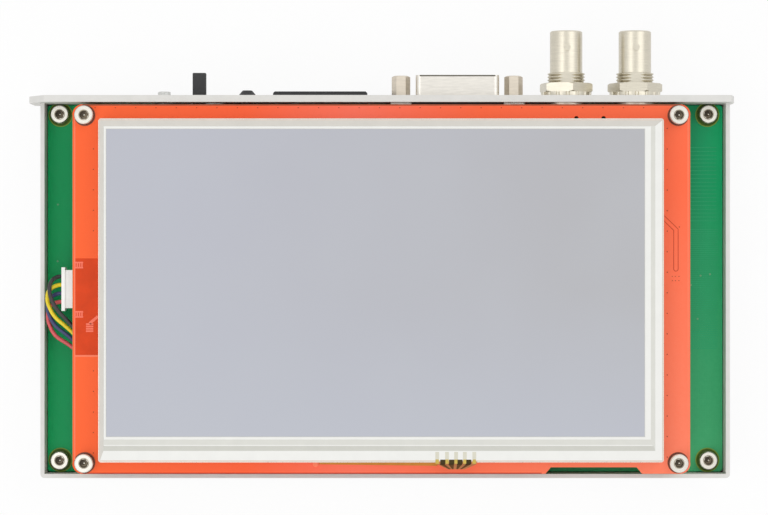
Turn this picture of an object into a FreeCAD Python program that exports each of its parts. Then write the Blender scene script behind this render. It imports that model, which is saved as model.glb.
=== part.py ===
"""Bench vector network analyzer: an open sheet-metal tray with a connector panel,
a main circuit board, and a display board with a seven-inch touch display above it.

Millimetres.  +X is to the right of a user who faces the display with the connector
panel at the far side, +Y points out of the connector panel, +Z points up out of the
display.  Everything is laid out from the middle of the tray, and is moved at the end
so that the origin is the middle of the whole object's footprint, at the feet.
"""
import FreeCAD
import Part
import math
import os

V = FreeCAD.Vector
FORWARD = V(0, 1, 0)
UP = V(0, 0, 1)

# ---- driving dimensions: enclosure ----------------------------------------------
TRAY_LENGTH = 204.0          # outside, along X
CASE_DEPTH = 112.9           # back of the tray to the outer face of the panel
TRAY_HEIGHT = 16.0
SHEET = 1.2                  # sheet metal of the tray
PANEL_SHEET = 2.0            # thicker sheet of the panel
TRAY_CORNER_R = 1.2
PANEL_HEIGHT = 24.0
PANEL_WING_LEFT = 3.4        # how far the panel stands out past the tray's side
PANEL_WING_RIGHT = 1.2
WING_SLOPE = 5.4             # width of the sloping upper corner on the left
WING_DROP = 9.0              # how far the slope comes down
RIGHT_SLOPE = 1.7
RIGHT_DROP = 8.0
FOOT_HEIGHT = 3.0
FOOT_R = 5.0
FOOT_FLARE = 0.5             # foot wider at the tray than at the bench
FOOT_EDGE_R = 0.5
FOOT_INSET = 12.0
TAB_WIDTH = 12.0
TAB_HEIGHT = 5.6
TAB_HOLE_RISE = 0.6          # tab's hole above the tab's middle
TAB_INSET = 26.0             # outer tabs from the tray's sides
TAB_MIDDLE = 30.0            # inner tabs from the middle

# ---- driving dimensions: boards -------------------------------------------------
BOARD = 1.6                  # thickness of both circuit boards
UNDER_GAP = 6.0              # tray floor to main board
STACK_GAP = 0.5              # tallest connector to the display board above it
BOARD_SIDE_GAP = 0.2         # main board to the tray's sides
BOARD_END_GAP = 0.25         # main board to the tray's back and the panel
MAIN_HOLE_INSET = (4.1, 3.1)
MAIN_CORNER_R = 1.0
MAIN_SHIFT = (0.0, -0.4)
MAIN_HOLE_SHIFT = (-0.35, -0.1)
LCD_PCB_SIDE_STEP = 9.95     # main board's side to the display board's side
LCD_PCB_END_STEP = 0.4
LCD_PCB_HOLE_INSET = (3.55, 3.2)
LCD_PCB_SHIFT = (-1.1, -0.45)
LCD_PCB_CORNER_R = 3.0
NOTCH_LENGTH = 28.4
NOTCH_DEPTH = 1.9
NOTCH_FROM_SIDE = 28.35      # notch's middle from the display board's right side
NOTCH_FLARE = 1.6
LOCATING_HOLES = (25.45, 33.45)   # from the display board's right side
LOCATING_HOLE_R = 0.65
LOCATING_STEP = 0.3          # locating holes outside the display's edge

# ---- driving dimensions: display ------------------------------------------------
LCD_SIDE_STEP = 8.2          # display board's side to the display's side
LCD_END_STEP = 4.05
LCD_HEIGHT = 5.1
LCD_SHIFT = (-1.2, -0.8)
LCD_WALL = 1.6
LCD_FLOOR = 1.0
LCD_CORNER_R = 0.8
LCD_CELL_GAP = 0.2
GLASS = 1.5
TAPE = 0.3
TAPE_WIDTH = 6.0
TAPE_INSET = 6.0             # tape's middle from the display's long side
TAPE_END = 10.0
TOUCH = 1.2
TOUCH_INSET = 0.3
TOUCH_CORNER_R = 0.5
FLEX = 0.2
FLEX_CENTRE = 21.0
FLEX_WIDTH = 11.4
FLEX_STRIP_LENGTH = 37.0
FLEX_STRIP_WIDTH = 1.3
FLEX_RISE = 0.4              # tail against the touch panel's edge
FLEX_FOOT = 2.4
FLEX_SLOT = (30.0, 3.0)
FLEX_SLOT_CENTRE = (45.0, -38.0)
RIBBON_SIDE_GAP = 2.0
RIBBON_DROP = 1.2
RIBBON_RETURN = 10.0
RIBBON_SOCKET_SIDE = 1.0     # ribbon's connector past the slot's end
RIBBON_SOCKET_NEAR = 5.0     # slot's middle to the connector
RIBBON_SOCKET_DEPTH = 5.5
RIBBON_SOCKET_T = 2.2

# ---- driving dimensions: fittings on the panel (X places from the tray's middle) --
LED_X = -65.6
LED_R = 1.9
LED_PROUD = 1.7
LED_ROUNDING = (0.25, 0.3)   # lens tip, across and along
LED_CROWN = 0.1
LED_ROOT = 1.5               # wall behind the lens
LED_WALL = 1.1
LED_ROOF = 0.7
LED_RISE = 3.4               # height of the axis above the main board
HOUSING_BACK = 7.0           # panel to the back of the light, the switch and the button
SWITCH_X = -55.1
SWITCH_LEVER = 3.95
SWITCH_LEVER_T = 2.6
SWITCH_PROUD = 7.1
SWITCH_TRAVEL = 4.0
SWITCH_RISE = 4.2
SWITCH_SIDE = 1.725          # frame past the lever's end positions
SWITCH_ROOF = 1.7            # frame above the lever
SWITCH_FRAME_T = 0.4
SWITCH_BASE_INSET = 0.2
LEVER_DEPTH = 3.2
LEVER_FOOT_T = 1.6
LEVER_SHOULDER = 0.5
LEVER_EDGE_R = 0.3
BUTTON_X = -40.9
BUTTON_R = 2.6
BUTTON_TIP_R = 1.6
BUTTON_PROUD = 1.9
BUTTON_TRAVEL = 0.5
BUTTON_RISE = 4.0
BUTTON_COLLAR = 0.25         # collar behind the panel's inner face
BUTTON_RIM = 0.5             # straight part in front of the panel
BUTTON_TIP_EDGE = 0.2
BUTTON_STEM_STEP = 0.9
BUTTON_STEM_DEPTH = 3.6
BUTTON_WALL = 0.5
CARD_X = -19.3
CARD_WIDTH = 28.0
CARD_HEIGHT = 3.6
CARD_DEPTH = 28.0
CARD_PROUD = 1.7
CARD_SIDE_WALL = 1.8
CARD_SLOT_H = 2.3
CARD_SLOT_DROP = 0.1         # slot's middle below the socket's middle
CARD_SLOT_DEPTH = 24.0
CARD_BEVEL = 0.5
COVER_SHEET = 0.25
COVER_SETBACK = 1.0
COVER_LENGTH = 23.0
COVER_LIFT = 0.6
DSUB_X = 21.35
DSUB_RISE = 6.3
DSUB_UPPER = 8               # contacts in the upper row
DSUB_LOWER = 7
DSUB_END_ROOM = 3.1
DSUB_SHELL_H = 7.9
DSUB_CORNER_R = 1.6
DSUB_PROUD = 6.2
DSUB_SIDE_SLOPE = 10.0       # degrees
DSUB_FLANGE_END = 2.94       # flange past the jackscrew's axis
DSUB_FLANGE_H = 12.4
DSUB_FLANGE_T = 0.9
DSUB_FLANGE_CORNER_R = 1.2
DSUB_WALL = 0.5
DSUB_PITCH = 2.77
DSUB_ROW_GAP = 2.84
DSUB_TAIL_BACK = 9.0         # panel to the lower row's tails
DSUB_TAIL_STEP = 2.54
DSUB_TAIL_HOLE_R = 0.5
DSUB_TAIL_HALF = 0.3
DSUB_TAIL_REACH = 1.0        # tails below the main board
DSUB_SOCKET_R = 0.78
DSUB_SOCKET_BORE_R = 0.52
DSUB_SOCKET_SETBACK = 0.8
DSUB_BLOCK_SETBACK = 0.5     # insulator's face behind the shell's mouth
DSUB_BLOCK_BACK = 6.5
DSUB_BLOCK_SIDE_GAP = 0.26   # insulator to the brackets
DSUB_BLOCK_LIFT = 1.6
DSUB_BLOCK_RISE = 4.8
BRACKET_HALF = 3.0
BRACKET_DEPTH = 4.0
BRACKET_RISE = 4.0
BRACKET_SOLE = 1.2
PEG_BACK = 6.0               # panel to the bracket's peg
PEG_R = 1.5
PEG_GAP = 0.1
PEG_REACH = 1.2
JACK_STEP = 4.03             # shell's side to the jackscrew's axis
JACK_AF = 4.75
JACK_LENGTH = 6.1
JACK_STUD = 3.5
JACK_BEVEL = (0.35, 1.5)
JACK_THREAD_R = 1.42         # 4-40 outside thread
JACK_HOLE_R = 1.13           # 4-40 tapped hole
JACK_HOLE_DEPTH = 5.0
BNC_PLACES = (53.6, 73.95)
BNC_NUT_TURNS = (-19.0, -8.0)
BNC_BARREL_R = 4.8
BNC_BARREL_WALL = 0.7
BNC_BARREL_LENGTH = 12.3
BNC_EDGE = 0.35
BNC_CORE_STEP = 0.7          # rear bore's radius inside the mouth's
BNC_BORE_STOP = 1.0
BNC_REAR = 8.0
BNC_REAR_STEP = 1.2
BNC_THREAD_STEP = 0.75       # thread's radius past the barrel's
BNC_THREAD_PITCH = 0.907
BNC_THREAD_DEPTH = 0.5
BNC_THREAD_OUT = 7.0         # thread in front of the panel
BNC_THREAD_EDGE = 0.25
BNC_FLAT_DEPTH = 0.65        # flat that stops the connector turning
BNC_SHOULDER_T = 3.0
BNC_SHOULDER_STEP = 0.65     # shoulder's radius past the thread's
BNC_SHOULDER_LIFT = 0.1      # shoulder clear of the main board
BNC_NUT_WALL = 1.45
BNC_NUT_T = 2.65
BNC_NUT_BEVEL = (0.6, 0.4)
BNC_NUT_CORNER = 0.05
BNC_WASHER_WIDTH = 1.95
BNC_WASHER_T = 1.2
BNC_WASHER_NOTCHES = 16
BNC_WASHER_NOTCH_R = 0.55
BNC_WASHER_NOTCH_OUT = 0.1
BNC_STUD_R = 1.0
BNC_STUD_OUT = 0.75          # stud's tip past the barrel
BNC_STUD_SETBACK = 5.0
DIELECTRIC_R = 2.35
DIELECTRIC_SETBACK = 5.2
CONTACT_R = 1.1
CONTACT_BORE_R = 0.7
CONTACT_SETBACK = 5.4
CONTACT_BORE = 5.6
CONTACT_TAIL = 3.0           # contact behind the connector's body
SOLDER_POT = 2.0
LEAD_DROP = 2.5              # contact's end to the lead's upright part
LEAD_BEND = 1.8

# ---- fasteners and clearances ---------------------------------------------------
M3_R = 1.5
M3_HEAD_STEP = 1.2           # head's radius past the shank's
M3_HEAD_H = 3.0
M3_SOCKET_AF = 2.5
M3_SOCKET_DEPTH = 1.6
M3_HEAD_BEVEL = 0.25
M3_HOLE_GAP = 0.15
M25_R = 1.25
M25_HEAD_STEP = 1.05
M25_REACH = 1.5              # screw's end behind the tab
M25_SOCKET_AF = 1.5
M25_SOCKET_DEPTH = 0.8
PAN_HEAD_H = 1.6
PAN_EDGE_R = 0.7
PAN_SOCKET_AF = 2.0
PAN_SOCKET_DEPTH = 0.9
PAN_BITE = 2.4               # screw's thread in the spacer
MAIN_SCREW_BITE = 2.0
MAIN_SCREW_TURN = 15.0
DISPLAY_SCREW_BITE = 3.4
DISPLAY_SCREW_TURN = 4.0
SPACER_TAP = 6.0
STUD_REACH = 3.0             # spacer's stud below the main board
NUT_T = 2.4
NUT_TURN = 10.0
THREAD_GAP = 0.02            # screw in its own thread
FIT_GAP = 0.05               # fixed piece in its pocket
PANEL_GAP = 0.3              # panel cut-out round a fitting
SLIDE_GAP = 0.3              # round a piece that moves
STANDOFF_WALL = 1.25         # spacer's flat to its thread
THROUGH = 1.0                # how far a cutting tool passes what it cuts

# ---- driving dimensions: electronics, from the tray's middle --------------------
HEADER_COUNT = 20
HEADER_PITCH = 2.54
HEADER_FROM_SIDE = 21.75     # display board's left side to the header's middle
HEADER_Y = -12.0
HEADER_PIN = 0.64
HEADER_HOLE_GAP = 0.15
HEADER_FLOOR = 0.8
PIN_LIFT = 1.5
SOCKET_HEIGHT = 8.5
BASE_HEIGHT = 2.5
PROCESSOR = (-30.0, 8.0)
PROCESSOR_SIZE = 20.0
PROCESSOR_T = 1.5
SIGNAL_CHIPS = ((8.0, -14.0), (23.0, -14.0), (38.0, -14.0))
SIGNAL_CHIP_SIZE = 7.0
SIGNAL_CHIP_T = 1.1
CHIP_LIFT = 0.1
CHIP_BEVEL = 0.15
LEG_REACH = 1.0
LEG_UNDER = 0.5
LEG_T = 0.25
CONTROLLER = (-10.0, 14.0)
CONTROLLER_SIZE = 14.0
CONTROLLER_T = 1.4
CANS = ((60.0, 14.0, 46.0, 34.0), (66.0, -22.0, 34.0, 24.0))
CAN_HEIGHT = 5.0
CAN_WALL = 0.25
CAN_CORNER_R = 0.6
CRYSTAL = (-48.0, 22.0)
CRYSTAL_SIZE = (11.4, 4.7, 3.5)
BACK_ROW_INSET = 15.0        # capacitors and coils from the main board's back edge
CAPACITORS = (-40.0, -28.0, -16.0)
CAPACITOR_R = 3.15
CAPACITOR_H = 7.7
CAPACITOR_BASE = (0.2, 1.0)
CAPACITOR_EDGE_R = 0.5
COILS = (2.0, 16.0)
COIL_SIZE = 9.0
COIL_H = 4.5
COIL_CORNER_R = 1.5

# ---- driving dimensions: touch panel's lead -------------------------------------
PLUG_PITCH = 2.5
PLUG_OVERHANG = 3.45         # plug's flange past the display board's left side
PLUG_Y = -0.5
PLUG_DROP = 3.4              # plug's middle below the display board
PLUG_FLANGE = (1.0, 6.4, 2.8)     # thickness, half width, half height
PLUG_BODY = (7.6, 5.6, 2.3)       # length, half width, half height
PLUG_BORE = 2.2
HEADER_BOX = (7.8, 6.6, 3.2)      # length, half width, depth below the plug's middle
HEADER_BOX_SETBACK = 2.6
WIRE_R = 0.6
WIRE_IN = 1.9
WIRE_NAMES = ("black", "yellow", "blue", "red")
WIRE_SOCKET_FROM_PLUG = (15.2, -23.5)
WIRE_SOCKET_HALF = (2.9, 6.4)
WIRE_SOCKET_H = 8.0
WIRE_SOCKET_BORE = 3.0
WIRE_END_LIFT = 0.2
# each wire's loop: how far out, how far along, how high, and where it goes back under
WIRE_OUT = (3.4, 4.2, 4.3, 4.4)
WIRE_ALONG = (7.0, 6.8, 6.9, 7.4)
WIRE_HIGH = (2.3, 0.75, -0.85, -2.5)
WIRE_BACK_Y = (-11.2, -13.0, -15.2, -17.5)
WIRE_BACK_X = 3.5
WIRE_STRAIGHT = 1.6          # run out of the plug before the first bend
WIRE_FIRST = (1.6, 0.9)      # first bend: how far along, and its share of the height
WIRE_CREST = (0.3, 0.72)     # top of the loop: how far out, and its share of the way along
WIRE_TURN = (1.6, 1.35)      # turn inwards: how far in, and its share of the way along
WIRE_BACK_SHARE = 0.8        # share of the height that is left under the display board
WIRE_TOP = 2.4               # level run below the display board
WIRE_LEVEL = (4.0, 0.4)      # start of the level run from the wire's place in its socket
WIRE_SAG = 0.2
BEND_SHARE = 0.45            # share of the shorter run beside a corner that its bend takes up

# ---- derived sizes --------------------------------------------------------------
M3_HOLE_R = M3_R + M3_HOLE_GAP
M3_HEAD_R = M3_R + M3_HEAD_STEP
M25_HEAD_R = M25_R + M25_HEAD_STEP
STANDOFF_AF = 2 * (M3_R + STANDOFF_WALL)
MAIN_LENGTH = TRAY_LENGTH - 2 * (SHEET + BOARD_SIDE_GAP)
MAIN_WIDTH = CASE_DEPTH - SHEET - PANEL_SHEET - 2 * BOARD_END_GAP
MAIN_HOLES = (MAIN_LENGTH - 2 * MAIN_HOLE_INSET[0], MAIN_WIDTH - 2 * MAIN_HOLE_INSET[1])
LCD_PCB_LENGTH = MAIN_LENGTH - 2 * LCD_PCB_SIDE_STEP
LCD_PCB_WIDTH = MAIN_WIDTH - 2 * LCD_PCB_END_STEP
LCD_PCB_HOLES = (LCD_PCB_LENGTH - 2 * LCD_PCB_HOLE_INSET[0], LCD_PCB_WIDTH - 2 * LCD_PCB_HOLE_INSET[1])
LCD_LENGTH = LCD_PCB_LENGTH - 2 * LCD_SIDE_STEP
LCD_WIDTH = LCD_PCB_WIDTH - 2 * LCD_END_STEP
DSUB_SHELL_W = DSUB_UPPER * DSUB_PITCH + DSUB_END_ROOM
JACK_SPACING = DSUB_SHELL_W + 2 * JACK_STEP
DSUB_FLANGE = (JACK_SPACING + 2 * DSUB_FLANGE_END, DSUB_FLANGE_H)
BNC_BORE_R = BNC_BARREL_R - BNC_BARREL_WALL
BNC_CORE_R = BNC_BORE_R - BNC_CORE_STEP
BNC_THREAD_R = BNC_BARREL_R + BNC_THREAD_STEP
BNC_FLAT = BNC_THREAD_R - BNC_FLAT_DEPTH
BNC_SHOULDER_R = BNC_THREAD_R + BNC_SHOULDER_STEP
BNC_REAR_R = BNC_SHOULDER_R - BNC_REAR_STEP
BNC_RISE = BNC_SHOULDER_R + BNC_SHOULDER_LIFT
BNC_NUT_AF = 2 * (BNC_THREAD_R + BNC_NUT_WALL)
BNC_WASHER_R = BNC_THREAD_R + BNC_WASHER_WIDTH
BNC_STUD_REACH = BNC_BARREL_R + BNC_STUD_OUT
BETWEEN_GAP = max(DSUB_FLANGE_H, 2 * BNC_RISE - BNC_SHOULDER_LIFT) + STACK_GAP

# ---- derived places -------------------------------------------------------------
HALF_LENGTH = TRAY_LENGTH / 2
TAB_Z = FOOT_HEIGHT + TAB_HEIGHT / 2 + TAB_HOLE_RISE
TAB_POSITIONS = (TAB_INSET - HALF_LENGTH, -TAB_MIDDLE, TAB_MIDDLE, HALF_LENGTH - TAB_INSET)
PANEL_OUT = CASE_DEPTH / 2
PANEL_IN = PANEL_OUT - PANEL_SHEET
TRAY_BACK = -CASE_DEPTH / 2
FLOOR_TOP = FOOT_HEIGHT + SHEET
MAIN_BOTTOM = FLOOR_TOP + UNDER_GAP
MAIN_TOP = MAIN_BOTTOM + BOARD
RED_BOTTOM = MAIN_TOP + BETWEEN_GAP
RED_TOP = RED_BOTTOM + BOARD
LCD_BOTTOM = RED_TOP + TAPE
LCD_TOP = LCD_BOTTOM + LCD_HEIGHT
PANEL_TOP = FOOT_HEIGHT + PANEL_HEIGHT
LED_Z = MAIN_TOP + LED_RISE
SWITCH_Z = MAIN_TOP + SWITCH_RISE
BUTTON_Z = MAIN_TOP + BUTTON_RISE
DSUB_Z = MAIN_TOP + DSUB_RISE
BNC_Z = MAIN_TOP + BNC_RISE
BNC_TIP = PANEL_OUT + BNC_THREAD_OUT + BNC_BARREL_LENGTH
BNC_LEAD_Y = PANEL_IN - BNC_REAR - CONTACT_TAIL
CARD_Z = MAIN_TOP + CARD_HEIGHT / 2
DSUB_TAIL_Y = (PANEL_IN - DSUB_TAIL_BACK, PANEL_IN - DSUB_TAIL_BACK - DSUB_TAIL_STEP)
SWITCH_MIDDLE = SWITCH_X + SWITCH_TRAVEL / 2
SWITCH_SLOT_HALF = (SWITCH_LEVER + SWITCH_TRAVEL) / 2 + SLIDE_GAP
SWITCH_SLOT_RISE = SWITCH_LEVER_T / 2 + SLIDE_GAP
SWITCH_FRAME_HALF = (SWITCH_LEVER + SWITCH_TRAVEL) / 2 + SWITCH_SIDE
SWITCH_TOP = SWITCH_Z + SWITCH_LEVER_T / 2 + SWITCH_ROOF
LEVER_ROOT = PANEL_IN - LEVER_DEPTH
STEM_R = BUTTON_R - BUTTON_STEM_STEP
BUTTON_SEAT = BUTTON_COLLAR + BUTTON_TRAVEL + SLIDE_GAP
LCD_PCB_LEFT = LCD_PCB_SHIFT[0] - LCD_PCB_LENGTH / 2
LCD_PCB_RIGHT = LCD_PCB_SHIFT[0] + LCD_PCB_LENGTH / 2
NOTCH_CENTRE = LCD_PCB_RIGHT - NOTCH_FROM_SIDE
HEADER_CENTRE = (LCD_PCB_LEFT + HEADER_FROM_SIDE, HEADER_Y)
BACK_ROW_Y = MAIN_SHIFT[1] - MAIN_WIDTH / 2 + BACK_ROW_INSET
PLUG_LEFT = LCD_PCB_LEFT - PLUG_OVERHANG
PLUG_Z = RED_BOTTOM - PLUG_DROP
WIRE_SOCKET = (PLUG_LEFT + WIRE_SOCKET_FROM_PLUG[0], PLUG_Y + WIRE_SOCKET_FROM_PLUG[1])
SHIFT = V(
    (PANEL_WING_LEFT - PANEL_WING_RIGHT) / 2,
    -(BNC_TIP + TRAY_BACK) / 2,
    0,
)


# ---- shape helpers --------------------------------------------------------------
def block(x0, x1, y0, y1, z0, z1):
    return Part.makeBox(x1 - x0, y1 - y0, z1 - z0, V(x0, y0, z0))


def slab(centre, length, width, z0, z1):
    """Box centred on an X, Y point."""
    x, y = centre
    return block(x - length / 2, x + length / 2, y - width / 2, y + width / 2, z0, z1)


def rod(radius, start, end):
    run = end.sub(start)
    return Part.makeCylinder(radius, run.Length, start, run)


def extrude(points, run):
    """Straight prism on a closed outline of points."""
    return Part.Face(Part.makePolygon(list(points) + [points[0]])).extrude(run)


def polygon_bar(across_flats, sides, start, end, turn=0.0):
    """Regular bar from start to end; turn is in degrees about the run."""
    run = end.sub(start)
    radius = across_flats / 2 / math.cos(math.pi / sides)
    points = []
    for step in range(sides):
        angle = math.radians(turn + 360.0 * step / sides)
        points.append(V(radius * math.cos(angle), radius * math.sin(angle), 0))
    bar = extrude(points, V(0, 0, run.Length))
    if run.getAngle(UP) > 0.01:
        bar.Placement = FreeCAD.Placement(start, FreeCAD.Rotation(V(1, 0, 0), V(0, 0, 1), run, "ZXY"))
    else:
        bar.translate(start)
    return bar


def cut(shape, tools):
    return shape.cut(Part.makeCompound(tools)) if tools else shape


def fuse(shape, *others):
    result = shape.multiFuse(list(others))
    return result.removeSplitter()


def rounded(shape, radius, keep):
    """Fillet the straight edges for which keep(middle point, direction) is true."""
    edges = []
    for edge in shape.Edges:
        if len(edge.Vertexes) == 2:
            ends = [vertex.Point for vertex in edge.Vertexes]
            if keep(ends[0].add(ends[1]).multiply(0.5), ends[1].sub(ends[0])):
                edges.append(edge)
    return shape.makeFillet(radius, edges)


def upright(run):
    return abs(run.x) < 1e-6 and abs(run.y) < 1e-6


def corners(spacing, shift):
    """The four corners of a hole rectangle."""
    places = []
    for sx in (-1, 1):
        for sy in (-1, 1):
            places.append((shift[0] + sx * spacing[0] / 2, shift[1] + sy * spacing[1] / 2))
    return places


def turned(profile, axis_point):
    """Solid of revolution about a line along Y; profile is (radius, y) pairs."""
    points = [V(axis_point.x + r, y, axis_point.z) for r, y in profile]
    face = Part.Face(Part.makePolygon(points + [points[0]]))
    return face.revolve(V(axis_point.x, 0, axis_point.z), FORWARD, 360)


def bent_wire(points, radius, bends):
    """Round wire along straight runs joined by tangent arcs, one bend radius a corner."""
    edges = []
    last = points[0]
    for index in range(1, len(points) - 1):
        corner = points[index]
        back = points[index - 1].sub(corner).normalize()
        ahead = points[index + 1].sub(corner).normalize()
        half = math.pi / 2 - back.getAngle(ahead) / 2
        bend = bends[index - 1]
        reach = bend * math.tan(half)
        enter = corner.add(V(back).multiply(reach))
        leave = corner.add(V(ahead).multiply(reach))
        to_middle = back.add(ahead).normalize().multiply(bend / math.cos(half) - bend)
        edges.append(Part.LineSegment(last, enter).toShape())
        edges.append(Part.Arc(enter, corner.add(to_middle), leave).toShape())
        last = leave
    edges.append(Part.LineSegment(last, points[-1]).toShape())
    path = Part.Wire(edges)
    section = Part.Wire(Part.makeCircle(radius, points[0], points[1].sub(points[0])))
    return path.makePipeShell([section], True, False)


def route_bends(points):
    """A bend radius for each corner, from the shorter of the two runs beside it."""
    bends = []
    for index in range(1, len(points) - 1):
        corner = points[index]
        back = points[index - 1].sub(corner)
        ahead = points[index + 1].sub(corner)
        half = math.pi / 2 - back.getAngle(ahead) / 2
        bends.append(BEND_SHARE * min(back.Length, ahead.Length) / math.tan(half))
    return bends


def save(node, *shapes):
    """Write one node; every shape is its own solid or group of solids."""
    solids = []
    for shape in shapes:
        for solid in shape.Solids:
            moved = solid.copy()
            moved.translate(SHIFT)
            solids.append(moved)
    result = solids[0] if len(solids) == 1 else Part.makeCompound(solids)
    result.exportStep("parts/" + node + ".step")


# ---- fasteners ------------------------------------------------------------------
def cap_screw(x, y, seat_z, length, turn=0.0):
    """M3 socket cap screw, head on seat_z, shank downwards."""
    head = Part.makeCylinder(M3_HEAD_R, M3_HEAD_H, V(x, y, seat_z))
    head = head.makeChamfer(M3_HEAD_BEVEL, [head.Edges[0]])
    shank = Part.makeCylinder(M3_R, length, V(x, y, seat_z - length))
    screw = fuse(head, shank)
    top = V(x, y, seat_z + M3_HEAD_H)
    socket = polygon_bar(M3_SOCKET_AF, 6, top.sub(V(0, 0, M3_SOCKET_DEPTH)), top, turn)
    return screw.cut(socket)


def hex_spacer(x, y, z0, z1, tap_depth):
    """Hexagon spacer, tapped down from its top."""
    bar = polygon_bar(STANDOFF_AF, 6, V(x, y, z0), V(x, y, z1))
    return bar.cut(Part.makeCylinder(M3_R + THREAD_GAP, tap_depth, V(x, y, z1 - tap_depth)))


def main_spacers():
    places = corners(MAIN_HOLES, MAIN_HOLE_SHIFT)
    return [hex_spacer(x, y, FLOOR_TOP, MAIN_BOTTOM, UNDER_GAP) for x, y in places]


def display_spacers():
    """Spacers whose lower stud passes the main board."""
    spacers = []
    stud = BOARD + STUD_REACH
    for x, y in corners(LCD_PCB_HOLES, LCD_PCB_SHIFT):
        spacer = hex_spacer(x, y, MAIN_TOP, RED_BOTTOM, SPACER_TAP)
        spacers.append(fuse(spacer, Part.makeCylinder(M3_R, stud, V(x, y, MAIN_TOP - stud))))
    return spacers


def spacer_nuts():
    nuts = []
    for x, y in corners(LCD_PCB_HOLES, LCD_PCB_SHIFT):
        low = V(x, y, MAIN_BOTTOM - NUT_T)
        nut = polygon_bar(STANDOFF_AF, 6, low, V(x, y, MAIN_BOTTOM), NUT_TURN)
        nuts.append(nut.cut(Part.makeCylinder(M3_R + THREAD_GAP, NUT_T, low)))
    return nuts


def main_screws():
    length = BOARD + MAIN_SCREW_BITE
    places = corners(MAIN_HOLES, MAIN_HOLE_SHIFT)
    return [cap_screw(x, y, MAIN_TOP, length, MAIN_SCREW_TURN) for x, y in places]


def display_screws():
    length = BOARD + DISPLAY_SCREW_BITE
    places = corners(LCD_PCB_HOLES, LCD_PCB_SHIFT)
    return [cap_screw(x, y, RED_TOP, length, DISPLAY_SCREW_TURN) for x, y in places]


# ---- enclosure ------------------------------------------------------------------
def tray():
    top = FOOT_HEIGHT + TRAY_HEIGHT
    outer = block(-HALF_LENGTH, HALF_LENGTH, TRAY_BACK, PANEL_IN, FOOT_HEIGHT, top)

    def outer_edge(middle, run):
        back_corner = upright(run) and middle.y < 0
        low_side = middle.z < FOOT_HEIGHT + 0.01 and middle.y < PANEL_IN - 0.01
        return back_corner or low_side

    outer = rounded(outer, TRAY_CORNER_R, outer_edge)
    hollow = block(
        -HALF_LENGTH + SHEET, HALF_LENGTH - SHEET,
        TRAY_BACK + SHEET, PANEL_IN + SHEET, FLOOR_TOP, top + SHEET,
    )
    shell = outer.cut(hollow)
    tabs = []
    holes = []
    half = TAB_WIDTH / 2
    tab_low = FOOT_HEIGHT + SHEET / 2
    tab_top = FOOT_HEIGHT + TAB_HEIGHT
    for x in TAB_POSITIONS:
        tabs.append(block(x - half, x + half, PANEL_IN - SHEET, PANEL_IN, tab_low, tab_top))
        start = V(x, PANEL_IN - SHEET - THROUGH, TAB_Z)
        holes.append(rod(M25_R + THREAD_GAP, start, V(x, PANEL_OUT, TAB_Z)))
    for x, y in corners(MAIN_HOLES, MAIN_HOLE_SHIFT):
        holes.append(rod(M3_HOLE_R, V(x, y, 0), V(x, y, FLOOR_TOP + THROUGH)))
    return cut(fuse(shell, *tabs), holes)


def dsub_outline(grow, y):
    """The D-shaped opening's outline in a plane of constant Y; grow widens it all round."""
    half_h = DSUB_SHELL_H / 2 + grow
    lean = math.tan(math.radians(DSUB_SIDE_SLOPE))
    top = DSUB_SHELL_W / 2 + grow / math.cos(math.radians(DSUB_SIDE_SLOPE)) + grow * lean
    low = top - 2 * half_h * lean
    return [
        V(DSUB_X - top, y, DSUB_Z + half_h),
        V(DSUB_X + top, y, DSUB_Z + half_h),
        V(DSUB_X + low, y, DSUB_Z - half_h),
        V(DSUB_X - low, y, DSUB_Z - half_h),
    ]


def dsub_block(grow, y0, y1, corner_r):
    solid = extrude(dsub_outline(grow, y0), V(0, y1 - y0, 0))
    return rounded(solid, corner_r, lambda middle, run: abs(run.y) > 1e-3)


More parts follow.
